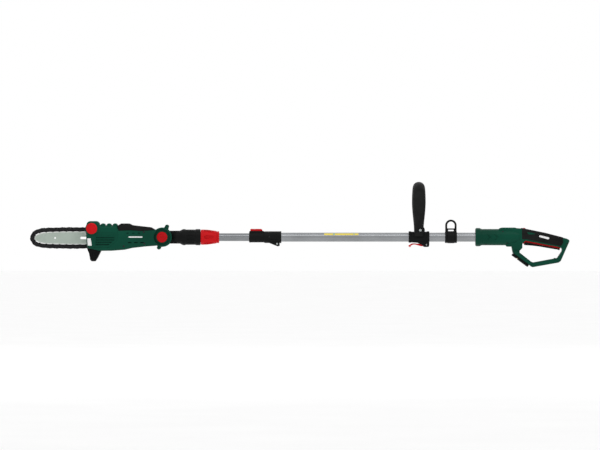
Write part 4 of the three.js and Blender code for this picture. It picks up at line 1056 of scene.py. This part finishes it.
def tubes():
    inner = (low("inner_tube").x, high("inner_tube").x)
    outer = (low("outer_tube").x, high("outer_tube").x)
    grooved_tube("inner_pole", *inner, INNER_R, 1.5, 1.5, INNER, "boom", "inner_tube")
    grooved_tube("outer_pole", *outer, TUBE_R, 1.3, 0, TUBE, "pole", "outer_tube")


def pole_label():
    """A yellow strip of broken rules on the outer tube's upper flank, with two small cyan fields."""
    start, end = 79.5, 192.7
    tilt = 40

    def strip(name, x0, x1, half, lift):
        vertices = []
        steps = 12
        for x in (x0, x1):
            for radius in (TUBE_R - 0.4, TUBE_R + lift):
                for step in range(steps + 1):
                    angle = math.radians(tilt - half + 2 * half * step / steps)
                    vertices.append((x, -radius * math.cos(angle), radius * math.sin(angle)))
        row = steps + 1
        faces = [tuple(range(row)) + tuple(reversed(range(row, 2 * row)))]
        faces.append(tuple(range(2 * row, 3 * row)) + tuple(reversed(range(3 * row, 4 * row))))
        for step in range(steps):
            faces.append((step, step + 1, 2 * row + step + 1, 2 * row + step))
            faces.append((row + step, row + step + 1, 3 * row + step + 1, 3 * row + step))
        faces.append((0, row, 3 * row, 2 * row))
        faces.append((steps, row + steps, 3 * row + steps, 2 * row + steps))
        return solid(name, vertices, faces, at(0))

    dress(strip("caution_strip", start, end, 14, 0.15), "pole", YELLOW_LABEL)
    marks = [strip("mark", start + x, start + x + width, 8, 0.28) for x, width in ((30, 5), (97, 3))]
    dress(merge(*marks), "pole", CYAN_INK).name = "caution_marks"


# ---- Telescope clamp ----------------------------------------------------------------------------------


CLAMP_BOLT = (-13.9, -22)  # along the pole and up, from the clamp's station
RELEASE_X = -82


def telescope_clamp():
    """The black sleeve on the end of the outer tube, with its button turret and its clamping ear."""
    place = at(CLAMP)
    front = low("telescope_clamp").x - CLAMP
    slim, stout = 17.4, 19.4
    profile = [
        (front, 0), (front, slim - 1, 0.8), (front + 2.5, slim + 0.6, 1), (front + 6, slim, 2),
        (-58, slim, 1.5), (-54, stout, 1.5), (-4, stout, 1.2), (-3, stout + 0.6, 0.4), (0, stout, 0.8),
        (0, 0),
    ]
    body = turned("clamp_body", profile, "x", place, 1)
    turret_shape = [(-106, 6), (-105.6, 19), (-103, 20.8), (-61, 20.8), (-57, 19.6), (-46, 8)]
    turret = prism("turret", turret_shape, -9.4, 9.4, 2, place, 2.5)
    ear_shape = [(-45, -10), (-43, -18), (-12, -30.5), (-5, -29), (-6, -10)]
    ear = prism("ear", ear_shape, -12, 12, 2, place, 3.2)
    fuse(body, turret, ear)
    for turn in turns(8, "X", 22.5):
        carve(body, block("flute", (-36, -1.4, stout - 1.2), (-12, 1.4, stout + 4), 0.8, place @ turn))
    well = block("well", (-102.4, -6.4, 14), (-62.1, 6.4, 40), 0, place)
    pin_hole = rod("pin_hole", 8, 20, 3.3, "z", shifted(place, RELEASE_X, 0))
    slit = block("slit", (-38, -1, -40), (4, 1, 0), 0, place)
    bolt_place = shifted(place, *CLAMP_BOLT)
    seats = [rod("seat", y0, y1, 4.4, "y", bolt_place) for y0, y1 in ((-30, -9), (9, 30))]
    front_bore = rod("bore", front - 2, -40, INNER_R + 0.4, "x", place)
    rear_bore = rod("bore", -50.6, 4, TUBE_R + 0.3, "x", place)
    carve(body, well, pin_hole, slit, *seats, front_bore, rear_bore)
    dress(body, "pole", BLACK, "telescope_clamp")
    dress(screw("clamp_side_screw", (-39.3, -18.6, 1), 2.7, station=CLAMP), "pole", BLACK_STEEL)
    bolt = rod("clamp_bolt", -10.8, 10.8, 2.2, "y", bolt_place)
    caps = [screw("cap", (CLAMP_BOLT[0], side * 9.4, CLAMP_BOLT[1]), 3.9, side, CLAMP) for side in (-1, 1)]
    dress(merge(bolt, *caps), "pole", STEEL, "clamp_screw")


def release_button():
    place = at(CLAMP)
    shape = [(-102, 17), (-102, 26), (-99.6, 27.6), (-66, 27.2), (-62.5, 24.6), (-62.5, 17)]
    button = prism("release_red", shape, -6, 6, 1.4, place, 1.6)
    grooves = [block("groove", (x, -8, 26.6), (x + 1.2, 8, 30), 0, place) for x in (-96, -92.4, -88.8, -85.2)]
    carve(button, *grooves)
    pin = rod("pin", 15.4, 19, 2.9, "z", shifted(place, RELEASE_X, 0))
    dress(merge(button, pin), "release_button", RED, "release_button")


# ---- Front handle and its clamp -----------------------------------------------------------------------

HANDLE_TOP = high("front_handle").z - AXIS_Z
HANDLE_SIDE = high("front_handle").y
BOLT_Z = JOINTS["handle_tilt"]["pos_m"][2] / MM - AXIS_Z
LEVER_PIN = (20.8, -25.2)


def carriage():
    """The black sleeve that carries the front handle, with the yoke of its clamp lever underneath."""
    place = at(HANDLE)
    front = low("handle_carriage").x - HANDLE
    rear = high("handle_carriage").x - HANDLE
    radius = 18.4
    profile = [
        (front, 0), (front, radius, 1), (front + 1.5, radius + 1.2, 1), (front + 7, radius + 1.2, 1),
        (front + 9, radius - 0.2, 1.5), (rear - 9, radius - 0.2, 1.5), (rear - 7, radius + 1.2, 1),
        (rear - 1.5, radius + 1.2, 1), (rear, radius, 1), (rear, 0),
    ]
    body = turned("carriage_body", profile, "x", place, 1)
    boss_shape = [(-19, -6), (-17, 8), (-13, 24), (-8, 31), (8, 31), (13, 24), (17, 8), (19, -6)]
    boss = prism("boss", boss_shape, -16.2, 16.2, 1.6, place, 5)
    yoke_shape = [(4, -6), (7, -22), (12, -32.5), (28.5, -32.5), (30.5, -26), (30.5, -6)]
    yoke = prism("yoke", yoke_shape, -12, 12, 2, place, 4)
    web_shape = [(-34, -10), (-32, -17), (-8, -18.6), (12, -29), (20, -10)]
    webs = [prism("web", web_shape, y0, y1, 1, place, 3) for y0, y1 in ((-12, -8), (8, 12))]
    fuse(body, boss, yoke, *webs)
    lever_slot = block("lever_slot", (-44, -7, -50), (27, 7, -16.6), 0, place)
    slit = block("slit", (front - 1, -20, -12.8), (rear + 1, -13, -11.2), 0, place)
    bore = rod("bore", front - 2, rear + 2, TUBE_R + 0.3, "x", place)
    axle = rod("axle", -40, 40, 3.4, "y", shifted(place, 0, BOLT_Z))
    pin = rod("pin", -40, 40, 2.3, "y", shifted(place, *LEVER_PIN))
    carve(body, lever_slot, slit, bore, axle, pin)
    dress(body, "carriage", BLACK, "handle_carriage")
    lever_axle = rod("lever_axle", -12.6, 12.6, 2.1, "y", shifted(place, *LEVER_PIN))
    dress(lever_axle, "carriage", STEEL, "lever_pin")


def clamp_lever():
    """The wavy red lever under the sleeve, turning on its pin."""
    place = at(HANDLE)
    above_grip = [(-20, -20.4), (-28, -21.6), (-34, -25.2), (-38.3, -27.6)]
    below_grip = [(-37.6, -31), (-32, -29.6), (-26, -25.6), (-18, -24.4)]
    upper = [(24.5, -22.5), (14, -22.6), (2, -22), (-10, -21.2), *above_grip]
    lower = [*below_grip, (-8, -26.6), (2, -29.6), (12, -29.8), (25.5, -28.6)]
    outline = [tuple(point) for point in smooth_line(upper, 5) + smooth_line(lower, 5)]
    lever = prism("clamp_lever_red", outline, -6.6, 6.6, 1, place)
    cam = rod("cam", -6.6, 6.6, 5.2, "y", shifted(place, *LEVER_PIN))
    fuse(lever, cam)
    carve(lever, rod("pin", -20, 20, 2.3, "y", shifted(place, *LEVER_PIN)))
    ridges = [block("ridge", (x, -6, -33), (x + 1, 6, -29.3), 0.2, place) for x in (-35.5, -33.5, -31.5)]
    fuse(lever, *ridges)
    dress(lever, "clamp_lever", RED, "clamp_lever")


def front_handle():
    """The loop handle: one oval section swept up a leg, over the top and down the other leg."""
    reach = HANDLE_SIDE - 13.2
    crown = 16.5  # half the height of the section at the top of the loop
    over = HANDLE_TOP - crown
    lean = -4
    leg = [
        (21.6, 2, 15.0, 8.5), (21.6, 20, 15.2, 8.5), (24.5, 38, 15.8, 10), (38, 58, 17.4, 12),
        (54, 82, 19.4, 13), (reach, 108, 20.8, 13.2), (reach - 1.5, 130, 20.8, 13.2),
        (reach - 12, 148, 20.4, 14), (reach - 32, 161, 19.8, 15.6), (reach - 56, over, 19.2, crown),
    ]
    mirrored = [(-y, z, half, thick) for y, z, half, thick in reversed(leg)]
    line = smooth_line([*leg, *mirrored], 7)
    sides = 40
    vertices = []
    for index, (y, z, half, thick) in enumerate(line):
        before = line[max(index - 1, 0)]
        after = line[min(index + 1, len(line) - 1)]
        along = Vector((0, after[0] - before[0], after[1] - before[1])).normalized()
        across = Vector((0, -along.z, along.y))
        for step in range(sides):
            angle = 2 * math.pi * step / sides
            cosine, sine = math.cos(angle), math.sin(angle)
            wide = half * cosine
            deep = thick * sine
            vertices.append(tuple(Vector((lean + wide, y, z)) + across * deep))
    rows = len(line)
    ends = [tuple(range(sides)), tuple(range((rows - 1) * sides, rows * sides))]
    place = at(HANDLE)
    bolt_place = shifted(place, 0, BOLT_Z)
    loop = solid("front_loop", vertices, ends + bands(rows, sides), place)
    feet = [rod("foot", side * 17.2, side * 26.6, 15.4, "y", bolt_place, 1.5) for side in (-1, 1)]
    fuse(loop, *feet)
    room = block("room", (-60, -16.6, -60), (60, 16.6, 40), 0, place)
    tube_room = rod("tube_room", -80, 80, 20.2, "x", place)
    carve(tube_room, rod("pads", -21, 21, 9.5, "y", bolt_place))
    below = block("below", (-60, -90, -60), (60, 90, 2.5), 0, place)
    hole = rod("hole", -60, 60, 3.4, "y", bolt_place)
    seats = [rod("seat", side * 25.4, side * 60, 7.2, "y", bolt_place, 0) for side in (-1, 1)]
    carve(loop, room, tube_room, below, hole, *seats)
    lowest, highest = JOINTS["handle_tilt"]["range_deg"]
    for step in range(7):
        tilt = Matrix.Rotation(math.radians(lowest + (highest - lowest) * step / 6), 4, "Y")
        tilted = bolt_place @ tilt @ bolt_place.inverted() @ place
        sleeve_room = rod("sleeve_room", -80, 80, 18.9, "x", tilted)
        carve(loop, carve(sleeve_room, rod("hub", -21, 21, 9.5, "y", bolt_place)))
    dress(loop, "front_handle", RUBBER, "front_handle", angle=42)
    pivot(bolt_place)


def pivot(place):
    """The bolt that the handle tilts on, with its hexagon socket, and its nut."""
    head_profile = [(-25.6, 0), (-25.6, 5.6), (-27.6, 5.4), (-29.2, 3.8), (-29.2, 0)]
    bolt = rod("bolt", -26, 31, 3, "y", place)
    fuse(bolt, turned("head", head_profile, "y", place, 0.5, 48))
    socket = lathe("socket", [(-40, 0), (-40, 2.3), (-27.4, 2.3), (-27.4, 0)], "y", place, 6)
    dress(carve(bolt, socket), "front_handle", STEEL, "pivot_bolt")
    nut_profile = [(25.6, 3.2), (25.6, 5.6), (30, 5.6), (30, 3.2)]
    nut = lathe("handle_nut", nut_profile, "y", place, 6, ring=True)
    dress(nut, "front_handle", STEEL, "pivot_nut")


# ---- Strap eye ----------------------------------------------------------------------------------------


def strap_eye():
    """The eye for the shoulder strap: an arched plate standing on a split band."""
    place = at(STRAP)
    half = (high("strap_eye").x - low("strap_eye").x) / 2
    ring_r = 18.8
    top = high("strap_eye").z - AXIS_Z
    centre = top - ring_r
    angles = [math.radians(degrees) for degrees in range(0, 181, 6)]

    def arch(radius):
        return [(radius * math.cos(angle), centre + radius * math.sin(angle)) for angle in angles]

    plate = prism("eye_plate", [(18.8, 14), *arch(ring_r), (-18.8, 14)], -3, 3, 0, place)
    inner = 12.2
    inside = [(x, z, 0) for x, z in arch(inner)]
    hole = prism("hole", [(inner, 29, 2), *inside, (-inner, 29, 2)], -9, 9, 0, place, 0)
    slot = prism("slot", [(-9, 19.8), (9, 19.8), (9, 24.4), (-9, 24.4)], -9, 9, 0, place, 1)
    carve(plate, hole, slot)
    soften(plate, 1.4)
    profile = [
        (-half, 0), (-half, 18.6, 1), (-half + 2, 19.4, 1), (-half + 5.6, 19.4, 0.8),
        (-half + 7.4, 18.6, 0.8), (half - 7.4, 18.6, 0.8), (half - 5.6, 19.4, 0.8), (half - 2, 19.4, 1),
        (half, 18.6, 1), (half, 0),
    ]
    band = turned("eye_band", profile, "x", place, 1)
    fuse(band, plate)
    bore = rod("bore", -40, 40, TUBE_R + 0.3, "x", place)
    carve(band, bore, block("split", (-30, -1.2, -30), (30, 1.2, -10), 0, place))
    dress(band, "pole", BLACK, "strap_eye")
    strap = tube("eye_strap", -11.5, 11.5, 20.2, 18.9, "x", place, 0.4)
    carve(strap, block("gap", (-20, -5.4, 10), (20, 5.4, 40), 0, place))
    dress(strap, "pole", BLACK, "strap_band")


# ---- Rear housing -------------------------------------------------------------------------------------

SPINE = [
    (116, 31.4, 4), (157.7, 28.4, 30), (230, 13.5, 120), (301.3, -4.8, 20), (311.8, -10.1, 6),
    (281.5, -78.7, 9), (274.5, -84, 9), (187, -99.5, 9), (179, -93.4, 9), (123, -51.6, 9),
    (119, -30.9, 12), (112, -24, 4), (112, 26, 4),
]
HAND_HOLE = [
    (154.5, -36, 5), (154.5, -22, 5), (163.5, -11.2, 6), (270, -32, 8), (286, -36, 8), (285, -46, 10),
    (269.9, -68.8, 7), (190.7, -83.3, 7), (184, -81, 7), (144.5, -50, 5), (146, -44, 5),
]


def rear_casing():
    """The green casing: a barrel over the tube, then the closed loop of the rear handle."""
    place = at(REAR)
    profile = [
        (0, 0), (0, 27.6, 1), (3, 30.2, 3), (14, 30.2, 3), (21, 26.8, 4), (112, 27, 10),
        (124, 27.4, 10), (146, 22, 6), (148, 0),
    ]
    barrel = turned("rear", profile, "x", place, 2)
    hump_shape = [(70, 10), (78, 29, 8), (88, 31.8, 14), (131, 31.8, 6), (140, 27, 5), (140, 10)]
    hump = prism("hump", hump_shape, -17, 17, 6, place, 4)
    belly = prism("belly", [(96, -8), (101, -31.5), (119, -31.5), (128, -8)], -16, 16, 5, place, 6)
    loop = prism("loop", SPINE, -GRIP_HALF, GRIP_HALF, 7, place, 9)
    foot_shape = [(124, -52.2), (177, -91.6), (187, -84), (143, -50), (133, -44)]
    foot = prism("foot", foot_shape, -FOOT_HALF, FOOT_HALF, 3.4, place, 4)
    fuse(barrel, hump, belly, loop, foot)
    hand = prism("hand", HAND_HOLE, -70, 70, 0, place, 5)
    carve(barrel, hand)
    carve(barrel, *rear_details(place))
    names = ("rear_shell_left", "rear_shell_right")
    dress_halves(barrel, names, ("rear_housing_left", "rear_housing_right"), "pole", GREEN, angle=32)


def rear_details(place):
    """Bores and slots, and the chevrons and the diamond pressed in both sides of the barrel."""
    cutters = [
        rod("bore", -4, 24, TUBE_R + 0.3, "x", place),
        rod("room", 22, 110, 22, "x", place),
        block("button", (154, -5.6, 8), (168, 5.6, 40), 0, place),
        prism("trigger_room", [(155, 2), (155, -30), (284, -50), (284, -18), (268, -12)], -8, 8, 0, place, 2),
    ]
    for x in (36, 60):
        chevron = ribbon([(x, 12), (x + 12, 0), (x, -12)], 1.6)
        cutters.append(prism("chevron", chevron, -40, -24.6, 0, place))
        cutters.append(prism("chevron", chevron, 24.6, 40, 0, place))
    diamond = [(47, 0), (56, 6), (70, 6), (79, 0), (70, -6), (56, -6)]
    for y0, y1 in ((-40, -26.2), (26.2, 40)):
        cutters.append(prism("diamond", diamond, y0, y1, 0, place, 2))
    return cutters


GRIP_SKIN = [
    (150, 31.2, 3), (157.7, 29.4, 20), (230, 14.5, 120), (289, -0.6, 6), (293, -17, 6), (284, -33, 4),
    (270, -31.2, 4), (168, -10, 5), (156, -11, 5), (150, -6, 4),
]


def soft_grips():
    """The soft skin wrapped over the handle, parted at the seam, with a green flash and a blank badge."""
    place = at(REAR)
    reach = GRIP_HALF + 1.2
    skin = prism("skin", GRIP_SKIN, -reach, reach, 7, place, 5)
    hand = prism("hand", HAND_HOLE, -70, 70, 0, place, 5)
    room = prism("room", [(x, z - 1.2) for x, z, _ in GRIP_SKIN], 1 - GRIP_HALF, GRIP_HALF - 1, 6, place, 4)
    button = block("button", (154.6, -5.6, 8), (167.4, 5.6, 40), 0, place)
    seams = []
    for side in (-1, 1):
        y0, y1 = sorted((side * (reach - 0.6), side * (reach + 4)))
        seams.append(prism("seam", ribbon([(150, 9), (180, 13), (290, -16)], 0.9), y0, y1, 0, place))
    carve(skin, hand, room, button, *seams)
    names = ("grip_skin_left", "grip_skin_right")
    dress_halves(skin, names, ("soft_grip_left", "soft_grip_right"), "pole", RUBBER)
    for side, name in ((-1, "left"), (1, "right")):
        flash_shape = [(166, 18), (186, 14.6), (203, 9.4), (176, 8.6)]
        f0, f1 = sorted((side * (reach - 0.4), side * (reach + 0.25)))
        dress(prism("grip_flash_" + name, flash_shape, f0, f1, 0.2, place, 2), "pole", GREEN)
        badge = [(209, 0.8), (241, -8.0), (244, -1.2), (211, 7.0)]
        b0, b1 = sorted((side * (reach - 0.3), side * (reach + 0.5)))
        dress(prism("grip_badge_" + name, badge, b0, b1, 0.25, place, 3), "pole", WHITE_LABEL)


def trigger():
    place = at(REAR)
    half = high("trigger").y
    upper = [(160, -8), (170, -7.5), (200, -12.8), (262, -22), (274, -22), (280, -30), (280.5, -38.4)]
    hook = [(165, -16.4), (160.4, -22), (156.6, -20.6), (157, -14)]
    lower = [(276, -37.6), (262, -35.0), (220, -27.2), (172, -17.4), *hook]
    lever = prism("trigger_red", upper + lower, -half, half, 1.4, place, 2.2)
    dress(lever, "trigger", RED, "trigger")
    pad_shape = [
        (165.4, -15.4), (220, -26.0), (270, -35.7), (278.4, -37.2), (277.6, -43.6), (271, -41.1),
        (247.5, -37.4), (208, -30.4), (186, -28), (163, -26.4), (159.4, -23.4),
    ]
    pad = prism("trigger_pad_black", pad_shape, -half + 0.4, half - 0.4, 0.9, place, 1.2)
    dress(pad, "trigger", RUBBER, "trigger_pad")


def lock_button():
    place = at(REAR)
    shape = [(156.1, 12), (156.1, 29.4), (158.6, 30.7), (164, 30.4), (166, 27.4), (166, 12)]
    button = prism("lock_red", shape, -4.8, 4.8, 1.2, place, 1.4)
    dress(button, "lock_button", RED, "lock_button")


def battery_foot():
    """The rails the battery slides on: undercut, notched for its latch, with a window for
    the contacts.
    """
    slope = foot_slope()
    end = 32
    plate = block("rail_plate", (-end, -27, -2.4), (end, 27, -0.3), 0.6, slope)
    rails = []
    for side in (-1, 1):
        rails.append(block("web", (-end, side * 22 - 3, -6), (end, side * 22 + 3, -2), 0.3, slope))
        rails.append(block("lip", (-end, side * 20.5 - 5.5, -8), (end, side * 20.5 + 5.5, -5.6), 0.5, slope))
    fuse(plate, *rails)
    notch = block("notch", (-14, -40, -9), (-9, 40, -5), 0, slope)
    window = block("window", (-22, -9.5, -4), (6, 9.5, 1), 0, slope)
    carve(plate, notch, window)
    dress(plate, "pole", BLACK, "battery_rails")


def foot_slope():
    """The slope of the foot that the battery slides down."""
    return at(REAR) @ Matrix.Translation((150.4, 0, -72.3)) @ Matrix.Rotation(math.radians(36.6), 4, "Y")


def rear():
    rear_casing()
    soft_grips()
    trigger()
    lock_button()
    battery_foot()
    places = ((34, -22), (90, 17), (104, -18), (136, -60), (262, -72), (300, -22))
    for side, name in ((-1, "left"), (1, "right")):
        screws = []
        for x, z in places:
            flank = GRIP_HALF if x > 125 else math.sqrt(max(0, 27**2 - z * z))
            screws.append(screw("screw", (x, side * (flank - 2.2), z), 3.4, side, REAR))
        dress(merge(*screws), "pole", BLACK_STEEL).name = "rear_screws_" + name


# ---- Scene --------------------------------------------------------------------------------------------


def light(name, size, power, place, target):
    data = bpy.data.lights.new(name, "AREA")
    data.shape = "RECTANGLE"
    data.size, data.size_y = size
    data.energy = power
    obj = bpy.data.objects.new(name, data)
    obj.location = place
    obj.rotation_euler = (Vector(target) - Vector(place)).to_track_quat("-Z", "Y").to_euler()
    bpy.context.scene.collection.objects.link(obj)
    return obj


def studio():
    """A pale floor under a white sky, with two long softboxes above the tool: one in front, one behind."""
    world = bpy.data.worlds.new("studio")
    bpy.context.scene.world = world
    world.use_nodes = True
    background = world.node_tree.nodes["Background"]
    background.inputs["Color"].default_value = (1, 1, 1, 1)
    background.inputs["Strength"].default_value = 1.0
    floor_material, nodes = new_material("floor")
    tone = nodes.ramp(nodes.noise(3), [(0.3, (0.955, 0.955, 0.955)), (0.7, (0.975, 0.975, 0.975))])
    nodes.link(tone, nodes.shader, "Base Color")
    nodes.shader.inputs["Roughness"].default_value = 0.9
    mesh = bpy.data.meshes.new("floor")
    # Low enough for the head to tilt right down. It hides the tool from any camera under it.
    reach = TILT - low("saw_chain").x
    level = (AXIS_Z - reach * math.sin(FULL_TILT) - 60) * MM
    half = 30
    corners = [(-half, -half, level), (half, -half, level), (half, half, level), (-half, half, level)]
    mesh.from_pydata(corners, [], [(0, 1, 2, 3)])
    floor = bpy.data.objects.new("floor", mesh)
    floor.data.materials.append(floor_material)
    bpy.context.scene.collection.objects.link(floor)
    middle = (0, 0, AXIS_Z * MM)
    light("softbox_front", (3.4, 0.3), 9, (0.1, -0.9, 1.3), middle)
    light("softbox_back", (3.4, 0.5), 5, (0.1, 1.2, 1.6), middle)


def camera():
    """Side-on, from far enough away for the near and far flanks to line up."""
    data = bpy.data.cameras.new("camera")
    data.sensor_width = 36
    distance = 14.0
    across = 1.98  # the width of the picture at the pole
    height = 0.1396
    data.lens = data.sensor_width * distance / across
    data.clip_end = 100
    obj = bpy.data.objects.new("camera", data)
    obj.location = (0, -distance, height)
    obj.rotation_euler = (math.pi / 2, 0, 0)
    bpy.context.scene.collection.objects.link(obj)
    bpy.context.scene.camera = obj
    bpy.context.scene.view_settings.view_transform = "Standard"


finish_cad_nodes()
head()
neck()
union_nut()
tubes()
pole_label()
telescope_clamp()
release_button()
carriage()
clamp_lever()
front_handle()
strap_eye()
rear()
studio()
camera()
